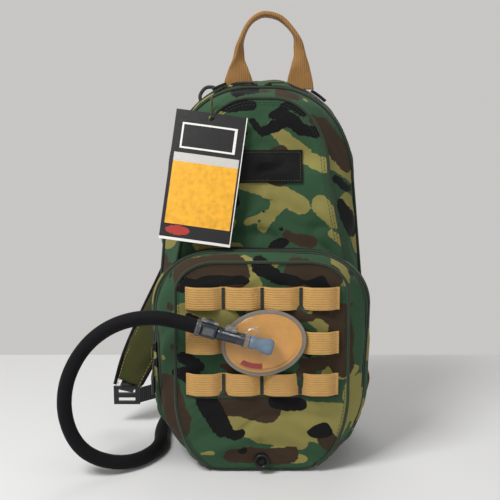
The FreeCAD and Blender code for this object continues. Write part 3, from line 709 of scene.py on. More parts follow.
def cap(name, outline, y_at, mats, crown=8.0, folds=1.2, rings=34, keep=None, wall=1.6,
        middle_z=None, front=True):
    """A crowned panel that fills an outline."""
    edge = outline.ring(AROUND)
    center_z = middle_z if middle_z is not None else (outline.parts[1] + outline.parts[7]) / 2
    sign = -1 if front else 1
    verts = []
    for j in range(rings):
        r = 1 - j / rings
        for x0, z0 in edge:
            x, z = x0 * r, center_z + (z0 - center_z) * r
            lift = (1 - r ** 3)
            slack = min(1.0, (1 - r) * 5)
            y = y_at(z) + sign * (crown * lift + ripple(x, 0, z, folds) * slack)
            verts.append((x, y, z))
    verts.append((0, y_at(center_z) + sign * crown, center_z))
    faces = []
    for j in range(rings - 1):
        for i in range(AROUND):
            n = (i + 1) % AROUND
            faces.append((j * AROUND + i, j * AROUND + n, (j + 1) * AROUND + n,
                          (j + 1) * AROUND + i))
    last = (rings - 1) * AROUND
    faces += [(last + i, last + (i + 1) % AROUND, len(verts) - 1) for i in range(AROUND)]
    if keep:
        faces = [f for f in faces if all(keep(*verts[k]) for k in f)]
    made = mesh_object(name, verts, faces, mats)
    drop_loose(made)
    out = sum(f.normal.y * f.area for f in made.data.polygons) * sign
    if out < 0:
        made.data.flip_normals()
    modifier(made, "SOLIDIFY", thickness=wall * MM, offset=-1)
    return baked(made)


def surface_tree(made):
    return BVHTree.FromPolygons([v.co.copy() for v in made.data.vertices],
                                [tuple(p.vertices) for p in made.data.polygons])


def onto_front(tree, x, z, lift=0.0, missing=-60.0):
    """The point on a front-facing surface at (x, z), in millimetres."""
    hit = tree.ray_cast(Vector((x, -400, z)) * MM, Vector((0, 1, 0)))
    y = hit[0].y / MM if hit[0] else missing
    return Vector((x, y - lift, z))


def seam_line(outline, y_at, grow=0.0, low=-1.0):
    """An outline's line above a height, opened at the bottom where it is cut."""
    ring = outline.grown(grow).ring(AROUND)
    half = AROUND // 2
    turned = ring[half:] + ring[:half]
    return [Vector((x, y_at(z), z)) for x, z in turned if z > low]


# ------------------------------------------------------------------ settings

class PackSizes(bpy.types.PropertyGroup):
    """Sizes that a user would change."""
    stitch_length: bpy.props.FloatProperty(
        name="Stitch length", description="Length of one seam stitch", default=3.2 * MM,
        unit="LENGTH")
    piping_radius: bpy.props.FloatProperty(
        name="Piping radius", description="Radius of the piped seams", default=2.1 * MM,
        unit="LENGTH")
    coil_pitch: bpy.props.FloatProperty(
        name="Coil pitch", description="Pitch of the zipper coils", default=1.7 * MM,
        unit="LENGTH")


class PackColors(bpy.types.PropertyGroup):
    """Colours of the stage."""
    floor: bpy.props.FloatVectorProperty(
        name="Floor", description="Floor and backdrop colour", subtype="COLOR",
        default=linear("#DADADA")[:3])


HOSE_ROUTE = [
    (0, .063, .372), (0, .084, .372), (-.001, .101, .359), (-.003, .108, .334),
    (-.004, .108, .290), (-.002, .105, .240), (-.004, .102, .185), (-.012, .100, .135),
    (-.030, .098, .092), (-.058, .095, .054), (-.090, .086, .028), (-.115, .064, .014),
    (-.124, .032, .009), (-.124, -.002, .0089), (-.120, -.036, .0086), (-.127, -.066, .0087),
    (-.144, -.090, .009), (-.168, -.105, .014), (-.193, -.112, .027), (-.208, -.115, .048),
    (-.215, -.117, .076), (-.213, -.118, .105), (-.203, -.119, .131), (-.187, -.121, .154),
    (-.166, -.122, .171), (-.142, -.123, .181), (-.116, -.123, .184), (-.091, -.1215, .1795),
    (-.068, -.120, .172)]
HOSE_RADIUS = 0.008
VALVE_TILT = math.radians(-16)
VALVE = (Vector((math.cos(VALVE_TILT), 0, math.sin(VALVE_TILT))), Vector((0, 1, 0)),
         Vector((-math.sin(VALVE_TILT), 0, math.cos(VALVE_TILT))))
VALVE_START = Vector(HOSE_ROUTE[-1]) / MM


def on_valve(along, up=0.0, out=0.0):
    return VALVE_START + VALVE[0] * along + VALVE[2] * up - VALVE[1] * out


class PACK_OT_stage(bpy.types.Operator):
    """Camera, lamps, floor and world"""
    bl_idname = "pack.stage"
    bl_label = "Stage"
    bl_options = {"REGISTER", "UNDO"}

    def execute(self, context):
        scene = context.scene
        camera = bpy.data.objects.new("camera", bpy.data.cameras.new("camera"))
        camera.data.lens = 54.7
        camera.location = (-0.013, -0.909, 0.366)
        camera.rotation_euler = (math.radians(82), 0, 0)
        scene.collection.objects.link(camera)
        scene.camera = camera
        scene.view_settings.view_transform = "Standard"
        for name, spot, size, power in (
                ("key", (-0.75, -0.8, 1.35), 0.6, 24), ("fill", (1.2, -0.9, 0.8), 1.2, 5),
                ("back", (0.2, 1.3, 1.2), 1.2, 9)):
            lamp = bpy.data.objects.new(name, bpy.data.lights.new(name, "AREA"))
            lamp.data.size = size
            lamp.data.energy = power
            lamp.location = spot
            aim = Vector((0, 0, 0.2)) - Vector(spot)
            lamp.rotation_euler = aim.to_track_quat("-Z", "Y").to_euler()
            scene.collection.objects.link(lamp)
        world = bpy.data.worlds.new("studio")
        world.use_nodes = True
        tree = world.node_tree
        background = tree.nodes["Background"]
        background.inputs[0].default_value = (1, 0.975, 0.95, 1)
        rays = node(tree, "ShaderNodeLightPath")
        seen = node(tree, "ShaderNodeMath", {"operation": "ADD"},
                    i0=rays.outputs["Is Camera Ray"], i1=rays.outputs["Is Glossy Ray"])
        seen = node(tree, "ShaderNodeMath", {"operation": "ADD", "use_clamp": True},
                    i0=seen.outputs[0], i1=rays.outputs["Is Transmission Ray"])
        power = node(tree, "ShaderNodeMapRange", Value=seen.outputs[0], i3=0.27, i4=0.58)
        tree.links.new(power.outputs[0], background.inputs[1])
        scene.world = world
        data = bpy.data.meshes.new("floor")
        data.from_pydata([(-4, -4, 0), (4, -4, 0), (4, 0.38, 0), (-4, 0.38, 0)], [], [(0, 1, 2, 3)])
        floor = bpy.data.objects.new("floor", data)
        scene.collection.objects.link(floor)
        made, tree, shader = material("matt_pale_table", 0.75)
        shader.inputs["Base Color"].default_value = (*scene.pack_colors.floor, 1)
        bump(tree, shader, speckle(tree, 3), 0.1, 0.2)
        data.materials.append(made)
        return {"FINISHED"}


class PACK_OT_hose(bpy.types.Operator):
    """Sleeved drink tube, one smooth curve along its route"""
    bl_idname = "pack.hose"
    bl_label = "Drink tube"
    bl_options = {"REGISTER", "UNDO"}

    def execute(self, context):
        curve = bpy.data.curves.new("drink_tube", "CURVE")
        curve.dimensions = "3D"
        line = curve.splines.new("NURBS")
        line.points.add(len(HOSE_ROUTE) - 1)
        for point, spot in zip(line.points, HOSE_ROUTE):
            point.co = (*spot, 1)
        line.order_u = 3
        line.use_endpoint_u = True
        line.resolution_u = 10
        curve.bevel_depth = HOSE_RADIUS
        curve.bevel_resolution = 6
        curve.use_fill_caps = True
        curve.materials.append(MATERIALS["sleeve"])
        hose = bpy.data.objects.new("drink_tube", curve)
        context.scene.collection.objects.link(hose)
        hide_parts("hose")
        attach(hose, "pack_body")
        context.scene["pack_hose"] = hose.name
        return {"FINISHED"}


class PACK_OT_valve(bpy.types.Operator):
    """Lock housing, lever, barrel, button and bite valve"""
    bl_idname = "pack.valve"
    bl_label = "Bite valve"
    bl_options = {"REGISTER", "UNDO"}

    def execute(self, context):
        housing = joined("lock_housing_shell", [
            block("a", on_valve(11.5), VALVE, (18, 13, 15), "smoke", 2.2),
            lathe("b", on_valve(-3), VALVE[0], [(0, 8.6), (1, 9.3), (5, 9.3), (6, 8.4)],
                  "clear"),
            block("c", on_valve(11.5, 0, 7.0), VALVE, (12, 1.6, 8), "clear", 0.7)])
        finish(housing, "pack_body", "clear_plastic", "lock_housing")
        lever = joined("lock_lever_shell", [
            block("a", on_valve(11, 9.4), VALVE, (18, 8.4, 3), "clear", 1.2),
            block("b", on_valve(3.5, 10.6), VALVE, (3, 8.8, 2.4), "clear", 0.9),
            lathe("c", on_valve(11, 8.0), VALVE[2], [(0, 3.4), (3.4, 3.4), (3.8, 2.8)],
                  "smoke")])
        finish(lever, "lock_lever", "clear_plastic", "lock_lever")
        ribs = [(0, 5.6), (0.6, 7.2), (4.2, 7.2), (4.8, 6.2)]
        for k in range(11):
            ribs += [(6 + k * 1.9, 6.2), (6.5 + k * 1.9, 6.8), (7.3 + k * 1.9, 6.8),
                     (7.8 + k * 1.9, 6.2)]
        ribs += [(27.6, 6.2), (28.2, 7.4), (29.8, 7.4)]
        walls = [block("wall", on_valve(34.2 + side * 6.0, 8.0), VALVE, (1.0, 10.4, 4.0),
                       "clear", 0.3) for side in (-1, 1)]
        walls += [block("wall", on_valve(34.2, 8.0, side * 4.9), VALVE, (12.4, 1.0, 4.0),
                        "clear", 0.3) for side in (-1, 1)]
        ring = [on_valve(57 + 6.5 * math.cos(k * math.pi / 12),
                         8.5 + 6.5 * math.sin(k * math.pi / 12)) for k in range(24)]
        ring = sweep("ring", ring, (0, 1, 0), (2.4, 1.3), "clear", closed=True)
        barrel = joined("valve_barrel_shell", [
            lathe("barrel", on_valve(20.6), VALVE[0], ribs, "smoke"), *walls, ring])
        finish(barrel, "pack_body", "black_plastic", "valve_barrel")
        button = joined("valve_button_shell", [
            block("a", on_valve(34.2, 10.2), VALVE, (10.4, 8.0, 2.2), "clear", 0.9),
            block("b", on_valve(34.2, 11.6), VALVE, (7, 5.4, 0.8), "clear", 0.3)])
        finish(button, "valve_button", "clear_plastic", "valve_button")
        start = 51.0
        bite = joined("bite_valve_shell", [
            lathe("a", on_valve(start), VALVE[0],
                  [(0, 5), (0.3, 7.6), (2.4, 8), (4.6, 7.6), (5.2, 6)], "clear"),
            lathe("b", on_valve(start), VALVE[0],
                  [(5, 5.6), (6, 7.2), (10, 7.6), (13, 6.4), (15, 6.0), (18, 7.4), (22, 8.6),
                   (27, 9.0), (30, 8.6), (31.6, 7), (32, 4), (31, 1.4)], "silicone")])
        finish(bite, "bite_valve", "blue_silicone", "bite_valve")
        self.card(context)
        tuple(HOSE_ROUTE[0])
        return {"FINISHED"}

    def card(self, context):
        """The oval card and its clear dome, as polar grids about the valve's middle"""
        low, high = corner("valve_card", 0), corner("valve_card", 1)
        middle = Vector(((low.x + high.x) / 2, high.y, (low.z + high.z) / 2))
        turn = math.radians(12)
        count = 96

        def oval(a, b, y):
            spots = []
            for k in range(count):
                t = 2 * math.pi * k / count
                x, z = a * math.cos(t), b * math.sin(t)
                spots.append((middle.x + x * math.cos(turn) - z * math.sin(turn), y,
                              middle.z + x * math.sin(turn) + z * math.cos(turn)))
            return spots

        def shell(name, profile, mats, zone=None):
            verts = []
            for a, b, y in profile:
                verts += oval(a, b, y)
            faces = []
            zones = []
            for j in range(len(profile) - 1):
                for k in range(count):
                    n = (k + 1) % count
                    faces.append((j * count + k, j * count + n, (j + 1) * count + n,
                                  (j + 1) * count + k))
                    zones.append(zone(j, k) if zone else 0)
            return tidy_normals(mesh_object(name, verts, faces, mats, zones))
        back = middle.y
        front = low.y
        rings = [(0.1, 0.1, back)] + [(46, 36, back), (46.4, 36.4, (back + front) / 2),
                                      (46, 36, front)]
        rings += [(46 - 2 * i, 36 - 2 * i, front) for i in range(1, 18)] + [(0.1, 0.1, front)]

        def zone(j, k):
            if j < 5:
                return 0
            if j in (7, 8, 9) and 58 <= k <= 68:
                return 2
            return 1
        card = shell("valve_card_print", rings, ["rim_grey", "ink_orange", "ink_red"], zone)
        finish(card, "pack_body", "printed_card", "valve_card", smooth=False)
        lip = front - 0.4
        top = front - 17.5
        profile = [(43, 33, lip), (38.5, 28.5, lip), (37.5, 27.5, lip - 1.5)]
        for i in range(0, 9):
            a = math.pi / 2 * i / 8
            profile.append((30 + 7 * math.cos(a), 20.5 + 6.5 * math.cos(a),
                            top + 12 - 12 * math.sin(a)))
        profile += [(22, 14, top - 0.3), (10, 6, top - 0.5), (0.1, 0.1, top - 0.5)]
        dome = shell("valve_dome_film", profile, "dome")
        modifier(dome, "SOLIDIFY", thickness=0.5 * MM, offset=0)
        baked(dome)
        finish(dome, "pack_body", "clear_plastic", "valve_dome")


class PACK_OT_shell(bpy.types.Operator):
    """Sewn shell: gussets, panels, zips, piping and stitches"""
    bl_idname = "pack.shell"
    bl_label = "Sewn shell"
    bl_options = {"REGISTER", "UNDO"}

    def execute(self, context):
        sizes = context.scene.pack_sizes
        body = "pack_body"
        rear = strip("rear_gusset_cloth", REAR, level(BACK_Y - 4), ZIP, level(ZIP_BACK),
                     "camo", 3.0, 2.4, 16)
        finish(rear, body, "camo_cloth", "rear_gusset")
        front = strip("front_gusset_cloth", LIP, level(ZIP_FRONT), PANEL, panel_y, "camo",
                      3.0, 2.6, 16)
        finish(front, body, "camo_cloth", "front_gusset")
        back = cap("back_panel_cloth", REAR, level(BACK_Y), "mesh", 2.0, 1.2, front=False)
        finish(back, body, "black_mesh", "back_panel")
        panel = cap("front_panel_cloth", PANEL, panel_y, "camo", 5.0, 4.5, 44,
                    keep=lambda x, y, z: z > 150)
        finish(panel, body, "camo_cloth", "front_panel")
        arch = strip("main_zip_tape_cloth", ZIP, level(ZIP_BACK), LIP, level(ZIP_FRONT),
                     "tape", -0.6, 0, 6, keep=lambda x, y, z: z > ARCH_Z - 2)
        finish(arch, body, "black_webbing", "main_zip_tape")
        low_front = strip("zip_end_cloth", ZIP, level(ZIP_BACK), LIP, level(ZIP_FRONT),
                          "camo", 0.6, 0.6, 6, keep=lambda x, y, z: z < ARCH_Z + 2)
        finish(low_front, body, "camo_cloth")
        pocket = strip("pocket_gusset_cloth", POCKET, panel_y, POCKET_ZIP,
                       level(POCKET_ZIP_Y), "camo", 2.0, 2.0, 12)
        finish(pocket, body, "camo_cloth", "pocket_gusset")
        above = SEAM_Z - 1
        tape = strip("pocket_zip_tape_cloth", POCKET_ZIP, level(POCKET_ZIP_Y), POCKET_LIP,
                     level(POCKET_LIP_Y), "tape", -0.6, 0, 6,
                     keep=lambda x, y, z: z > above)
        finish(tape, body, "black_webbing", "pocket_zip_tape")
        below = strip("boot_side_cloth", POCKET_ZIP, level(POCKET_ZIP_Y), POCKET_LIP,
                      level(POCKET_LIP_Y), "camo", 1.0, 1.0, 6,
                      keep=lambda x, y, z: z < SEAM_Z + 2)
        finish(below, body, "camo_cloth", "boot_gusset")
        side = strip("pocket_front_gusset_cloth", POCKET_LIP, level(POCKET_LIP_Y), FACE,
                     level(FACE_Y), "camo", 4.0, 2.4, 14)
        finish(side, body, "camo_cloth", "pocket_front_gusset")
        face = cap("pocket_face_cloth", FACE, level(FACE_Y), "camo", 3.4, 3.0, 44)
        finish(face, body, "camo_cloth", "pocket_front_panel", "boot_panel")
        for piece, name in ((rear, "rear"), (front, "gusset"), (panel, "panel"),
                            (low_front, "gusset"), (pocket, "side"), (below, "pocket"),
                            (side, "pocket"), (face, "pocket")):
            print_camo_and_painted_shade(piece, name)
        self.seams(sizes, body)
        self.stitching(sizes, body, panel, face)
        return {"FINISHED"}

    def seams(self, sizes, body):
        """Piped edges and zipper coils"""
        radius = sizes.piping_radius / MM
        piped = []
        for name, outline, y_at, low, out in (
                ("a", REAR, level(BACK_Y - 2), -1, 0.6), ("b", ZIP, level(ZIP_BACK), -1, 1.4),
                ("c", LIP, level(ZIP_FRONT), -1, 1.4), ("d", PANEL, panel_y, 200, 0.6),
                ("e", POCKET_ZIP, level(POCKET_ZIP_Y), 12, 1.0),
                ("f", POCKET_LIP, level(POCKET_LIP_Y), SEAM_Z, 0.6),
                ("g", FACE, level(FACE_Y), 8, 0.4)):
            closed = low < 0
            line = seam_line(outline, y_at, out, low)
            if closed:
                line = [p + Vector((0, 0, radius)) if p.z < 1 else p for p in line]
            piped.append(sweep(name, line, (0, 1, 0), (radius * 0.85, radius * 0.85),
                               "edging", closed, segments=10))
        finish(joined("seam_piping", piped), body, "black_webbing")
        pitch = sizes.coil_pitch / MM
        rows = []
        for outline_a, y_a, outline_b, y_b, low in (
                (ZIP, ZIP_BACK, LIP, ZIP_FRONT, ARCH_Z),
                (POCKET_ZIP, POCKET_ZIP_Y, POCKET_LIP, POCKET_LIP_Y, SEAM_Z + 1)):
            a = outline_a.grown(0.4).ring(AROUND)
            b = outline_b.grown(0.4).ring(AROUND)
            half = AROUND // 2
            line = [Vector(((p[0] + q[0]) / 2, (y_a + y_b) / 2, (p[1] + q[1]) / 2))
                    for p, q in zip(a, b)]
            line = [p for p in line[half:] + line[:half] if p.z > low]
            rows.append(line)
        coil = laid_row("zip_coils", rows, pitch, (1.0, 4.6, 1.5), "coil")
        finish(coil, body, "black_webbing")

    def stitching(self, sizes, body, panel, face):
        """Rows of stitches beside the seams"""
        long = sizes.stitch_length / MM
        gap = long * 1.35
        size = (long, 0.7, 0.7)
        lines = [seam_line(REAR, level(SEAT_Y - 2), 1.4, 30),
                 seam_line(ZIP, level(ZIP_BACK + 5), 1.6, 30)]
        panel_top = surface_tree(panel)
        for inset in (-4.0, -7.0):
            lines.append([onto_front(panel_top, p.x, p.z, 0.2)
                          for p in seam_line(PANEL, panel_y, inset, 252)])
        face_top = surface_tree(face)
        lines.append([onto_front(face_top, p.x, p.z, 0.2)
                      for p in seam_line(FACE, level(FACE_Y), -3.5, 16)])
        for height in (SEAM_Z - 2, SEAM_Z + 2.5):
            lines.append([onto_front(face_top, x, height, 0.2) for x in range(-82, 83, 4)])
        made = laid_row("seam_stitches", lines, gap, size, "thread")
        finish(made, body, "black_webbing")
        cross = [onto_front(face_top, x, SEAM_Z, 0.4) for x in range(-86, 87, 4)]
        binding = sweep("boot_seam_binding", cross, (0, 0, 1), (1.6, 0.7), "edging",
                        power=3.0, segments=10)
        finish(binding, body, "black_webbing")


class PACK_OT_webbing(bpy.types.Operator):
    """Bowed webbing rows, bar tacks, tabs, loops, patch and eyelet"""
    bl_idname = "pack.webbing"
    bl_label = "Webbing"
    bl_options = {"REGISTER", "UNDO"}

    def execute(self, context):
        body = "pack_body"
        pitch = 42.0
        threads = []
        for name in ("molle_row_top", "molle_row_middle", "molle_row_bottom"):
            low, high = corner(name, 0), corner(name, 1)
            mid_z = (low.z + high.z) / 2
            spots = []
            for k in range(4):
                left = -2 * pitch + k * pitch
                for share, out in ((0.02, 0.1), (0.08, 0.5), (0.17, 3.4), (0.30, 5.9),
                                   (0.5, 6.3), (0.70, 5.9), (0.83, 3.4), (0.92, 0.5)):
                    spots.append(Vector((left + pitch * share, high.y - 0.9 - out, mid_z)))
            spots.append(Vector((2 * pitch, high.y - 0.9, mid_z)))
            row = sweep(f"{name}_web", smooth_path(spots, 3), (0, 0, 1), (12.5, 0.85), "tan",
                        power=7.0, segments=20)
            finish(row, body, "tan_webbing", name)
            for k in (-1, 0, 1):
                for side in (-0.9, 0.0, 0.9):
                    threads.append([Vector((k * pitch + side * 1.1, high.y - 2.3,
                                            mid_z + z)) for z in (-11.4, 11.4)])
        tacks = laid_row("bar_tack_threads", threads, 0.95, (1.0, 1.3, 2.1), "thread")
        finish(tacks, body, "black_webbing", "bar_tacks")
        self.patch(body)
        self.top(body)
        return {"FINISHED"}

    def patch(self, body):
        """Bare label patch with a stitched edge, laid on the front panel"""
        low, high = corner("label_patch", 0), corner("label_patch", 1)
        ground = surface_tree(bpy.data.objects["front_panel_cloth"])
        wide, tall = 45, 19
        verts, faces = [], []
        for layer in (0.4, 1.8):
            for j in range(tall + 1):
                for i in range(wide + 1):
                    x = low.x + (high.x - low.x) * i / wide
                    z = low.z + (high.z - low.z) * j / tall
                    verts.append(onto_front(ground, x, z, layer))
        size = (wide + 1) * (tall + 1)
        for j in range(tall):
            for i in range(wide):
                a = j * (wide + 1) + i
                quad = (a, a + 1, a + wide + 2, a + wide + 1)
                faces.append(tuple(v + size for v in quad))
                faces.append(tuple(reversed(quad)))
        edge = [i for i in range(wide + 1)]
        edge += [j * (wide + 1) + wide for j in range(1, tall + 1)]
        edge += [tall * (wide + 1) + i for i in range(wide - 1, -1, -1)]
        edge += [j * (wide + 1) for j in range(tall - 1, 0, -1)]
        for a, b in zip(edge, edge[1:] + edge[:1]):
            faces.append((a, b, b + size, a + size))
        made = tidy_normals(mesh_object("label_patch_cloth", verts, faces, "binding"))
        finish(made, body, "black_webbing", "label_patch", smooth=False)
        ring = [(low.x + 2.5, low.z + 2.5), (high.x - 2.5, low.z + 2.5),
                (high.x - 2.5, high.z - 2.5), (low.x + 2.5, high.z - 2.5),
                (low.x + 2.5, low.z + 2.5)]
        line = []
        for (x0, z0), (x1, z1) in zip(ring, ring[1:]):
            line += [onto_front(ground, x0 + (x1 - x0) * k / 12, z0 + (z1 - z0) * k / 12, 2.0)
                     for k in range(12)]
        made = laid_row("patch_stitches", [line], 3.6, (2.6, 0.6, 0.6), "cord")
        finish(made, body, "black_webbing")
        low, high = corner("drain_eyelet", 0), corner("drain_eyelet", 1)
        middle = Vector(((low.x + high.x) / 2, low.y - 3.0, (low.z + high.z) / 2))
        eyelet = lathe("eyelet_ring", middle, (0, 1, 0),
                       [(5.5, 5), (0.6, 5), (-0.6, 6), (-1, 7), (-0.4, 8.2), (0.8, 8.5),
                        (5.5, 8.5), (5.5, 5)], "metal")
        finish(eyelet, body, "zip_metal", "drain_eyelet")
        dark = lathe("eyelet_shade", middle + Vector((0, 2.0, 0)), (0, 1, 0),
                     [(0, 0.1), (0, 5.2), (1, 5.2), (1, 0.1)], "mesh")
        finish(dark, body, "black_mesh")

    def top(self, body):
        """Top tabs, hanger loop, side loops and grab handle"""
        tabs = []
        for low_x, high_x in ((-58, -41), (60, 77)):
            line = []
            for k in range(9):
                x = low_x + (high_x - low_x) * k / 8
                share = (abs(x) - 14) / (HALF - 17 - 14)
                z = ARCH_Z + (TOP - 2 - ARCH_Z) * math.sqrt(max(0, 1 - share ** 2))
                line.append(Vector((x, 15, z + 2.6)))
            tabs.append(sweep("tab", line, (0, 1, 0), (11, 1.0), "black_web", power=6,
                              segments=16))
        finish(joined("top_tab_webs", tabs), body, "black_webbing", "top_tabs")
        low, high = corner("hanger_loop", 0), corner("hanger_loop", 1)
        y = (low.y + high.y) / 2
        line = smooth_path([(low.x + 2, y, low.z), (low.x + 1, y, low.z + 9),
                            (low.x + 8, y, high.z - 1), (high.x - 4, y, high.z - 1),
                            (high.x - 1, y, low.z + 11)], 6)
        hanger = sweep("hanger_cord", line, (0, 1, 0), (2.2, 2.2), "black_web")
        finish(hanger, body, "black_webbing", "hanger_loop")
        loops = []
        for side in (-1, 1):
            x = side * (HALF + 1.6)
            line = smooth_path([(x - side * 2, 24, 50), (x + side * 1.5, 24, 60),
                                (x + side * 4, 24, 73), (x + side * 1.5, 24, 86),
                                (x - side * 2, 24, 96)], 5)
            loops.append(sweep("loop", line, (0, 1, 0), (10, 0.9), "handle", power=6))
        finish(joined("side_loop_webs", loops), body, "tan_webbing", "side_loops")
        low, high = corner("grab_handle", 0), corner("grab_handle", 1)
        y = (low.y + high.y) / 2
        left, right, top = low.x + 2.5, high.x - 2.5, high.z
        stations = [
            ((left, y, TOP - 3), 0, 17, 1.2), ((left, y, TOP + 2), 0, 17, 1.5),
            ((left, y, TOP + 16), 0, 12, 2.2), ((left + 0.5, y, TOP + 30), 35, 7, 3.4),
            ((left + 3, y, TOP + 48), 80, 9, 2.8), ((left + 12, y, TOP + 68), 90, 10.5, 2.7),
            ((left + 26, y, top - 3.2), 90, 11, 2.9), ((left + 40, y, top - 3), 90, 11, 2.9),
            ((left + 54, y, top - 9), 90, 10.5, 2.9), ((right - 5, y, TOP + 56), 90, 9.5, 3.0),
            ((right, y, TOP + 36), 145, 7, 3.4), ((right + 1, y, TOP + 20), 180, 11, 3.0),
            ((right + 1, y, TOP + 4), 180, 15, 1.6), ((right + 1, y, TOP - 9), 180, 17, 1.2)]
        path = smooth_path([s[0] for s in stations], 6)
        extra = smooth_path([(s[1], s[2], s[3]) for s in stations], 6)
        sides = [Vector((math.cos(math.radians(e.x)), math.sin(math.radians(e.x)), 0))
                 for e in extra]
        handle = sweep("handle_webbing", path, sides, [(e.y, e.z) for e in extra], "handle",
                       power=4.5, segments=24)
        finish(handle, None, "tan_webbing", "grab_handle", "handle_ends",
               blend=("pack_body", "handle", (0.010, y * MM, 0.452), (0.010, y * MM, 0.482)))


class PACK_OT_zips(bpy.types.Operator):
    """Zip sliders and their cord pulls"""
    bl_idname = "pack.zips"
    bl_label = "Zip sliders"
    bl_options = {"REGISTER", "UNDO"}

    def execute(self, context):
        world = (Vector((1, 0, 0)), Vector((0, 1, 0)), Vector((0, 0, 1)))
        for name in ("main_slider_left", "main_slider_right", "pocket_slider_upper",
                     "pocket_slider_lower"):
            low, high = corner(name, 0), corner(name, 1)
            middle = (low + high) / 2
            size = high - low
            main = name.startswith("main")
            up = world[2] if main else -world[0]
            along = world[0] if main else world[2]
            thick = size.z if main else size.x
            axes = (along, world[1], up)
            parts = [
                block("a", middle - up * thick * 0.28, axes, (11, 8, thick * 0.4), "metal", 0.8),
                block("b", middle + up * thick * 0.05, axes, (9, 6.4, thick * 0.3), "metal", 0.6),
                block("c", middle + up * thick * 0.36, axes, (8, 2.4, thick * 0.26), "metal",
                      0.5)]
            finish(joined(f"{name}_cast", parts), name, "zip_metal", name)
            pull = name.replace("slider", "pull")
            self.pull(pull, main, world)
        return {"FINISHED"}

    def pull(self, name, main, world):
        """A cord loop with a wrapped neck; the lower pocket one has a moulded grip"""
        low, high = corner(name, 0), corner(name, 1)
        middle = (low + high) / 2
        if main:
            outward = 1 if name.endswith("right") else -1
            start = Vector((low.x if outward > 0 else high.x, middle.y, middle.z))
            way = world[0] * outward
            side = world[1]
        else:
            start = Vector((middle.x, middle.y, high.z - 1.2))
            way = -world[2]
            side = world[1]
        long = (high.x - low.x if main else high.z - low.z) - 2.0
        loop = [start + side * 0.5, start + way * 4 + side * 1.3,
                start + way * (long - 3) + side * 2.2, start + way * long,
                start + way * (long - 3) - side * 2.2, start + way * 4 - side * 1.3,
                start - side * 0.5]
        normal = way.cross(side)
        parts = [sweep("loop", smooth_path(loop, 6), normal, (0.95, 0.95), "cord",
                       segments=10)]
        parts.append(block("neck", start + way * 5, (way, side, normal), (5, 3.6, 2.2),
                           "cord", 0.9))
        if name.endswith("lower"):
            parts.append(block("grip", start + way * (long + 8), (way, side, normal),
                               (20, 10, 4.2), "acetal", 1.8))
        finish(joined(f"{name}_cord", parts), name, "pull_cord", name)


# CAD nodes that show as they are, with the finish that each one gets
CARRIED_OVER = {
    "strap_yoke": "olive", "anchor_tabs": "black_web", "lower_webbing_left": "black_web",
    "lower_webbing_right": "black_web", "sternum_webbing_left": "black_web",
    "sternum_webbing_right": "black_web", "sternum_buckle_male": "acetal",
    "sternum_buckle_female": "acetal", "ladder_lock_left": "acetal",
    "ladder_lock_right": "acetal", "hose_port": "rubber", "sleeve_divider": "olive",
    "bladder": "film", "fill_collar": "acetal", "fill_cap": "acetal",
    "outlet_fitting": "acetal", "inner_tube": "clear", "tag_loop": "cord",
}


class PACK_OT_back(bpy.types.Operator):
    """Shoulder straps, pads, yoke, ladder locks and sternum pieces"""
    bl_idname = "pack.back"
    bl_label = "Back"
    bl_options = {"REGISTER", "UNDO"}

    STRAPS = {
        "left": [(-52, 73, 404, 48), (-56, 97, 350, 54), (-68, 104, 290, 60),
                 (-98, 104, 210, 62), (-132, 86, 140, 60), (-156, 64, 92, 52),
                 (-172, 50, 54, 40)],
        "right": [(52, 73, 404, 48), (54, 97, 350, 54), (60, 104, 290, 60),
                  (72, 104, 210, 62), (84, 98, 140, 60), (90, 88, 96, 52), (94, 82, 68, 40)]}

    def execute(self, context):
        for side, stations in self.STRAPS.items():
            self.strap(side, stations)
        pads = []
        for low_z, high_z in ((62, 178), (202, 328)):
            pad = block("pad", (0, BACK_Y + 5.6, (low_z + high_z) / 2),
                        ((1, 0, 0), (0, 1, 0), (0, 0, 1)), (178, 7, high_z - low_z - 6),
                        "mesh", 3.0)
            pads.append(puffed(pad, 2.5))
        made = joined("back_pad_cushions", pads)
        finish(made, "pack_body", "black_mesh", "back_pads")
        for name, key in CARRIED_OVER.items():
            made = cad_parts[name]
            made.data.materials.clear()
            made.data.materials.append(MATERIALS[key])
        return {"FINISHED"}

    def strap(self, side, stations):
        path = smooth_path([s[:3] for s in stations], 9)
        widths = smooth_path([(s[3], 0, 0) for s in stations], 9)
        halves = [(w.x / 2 - 1.5, 4.6) for w in widths]
        pad = sweep(f"shoulder_strap_{side}", path, (1, 0, 0), halves, "olive", power=4.0,
                    segments=36)
        pad = puffed(pad, 2.0)
        edge = []
        for sign in (-1, 1):
            line = [p + Vector((sign * (w.x / 2 - 2.4), 0, 0)) for p, w in zip(path, widths)]
            edge.append(sweep("edge", line, (0, 1, 0), (4.2, 2.2), "binding", power=3, segments=12))
        rows = []
        for share in (-0.36, 0.36):
            rows.append([p + Vector((w.x * share, -5.6, 0)) for p, w in zip(path, widths)])
            rows.append([p + Vector((w.x * share, 5.6, 0)) for p, w in zip(path, widths)])
        away = (path[-1] - path[-2]).normalized()
        web = sweep("web", [p + Vector((0, 6.2, 0)) for p in path]
                    + [path[-1] + away * 4 + Vector((0, 4, 0)), path[-1] + away * 9],
                    (1, 0, 0), (10, 0.8), "black_web", power=6)
        trim = joined(f"strap_trim_{side}", edge + [web])
        finish(pad, f"{side}_strap", "olive_cloth", f"strap_{side}")
        finish(trim, f"{side}_strap", "black_webbing")
        lines = laid_row(f"strap_stitches_{side}", rows, 4.4, (3.2, 0.7, 0.7), "pale_thread")
        finish(lines, f"{side}_strap", "olive_cloth")


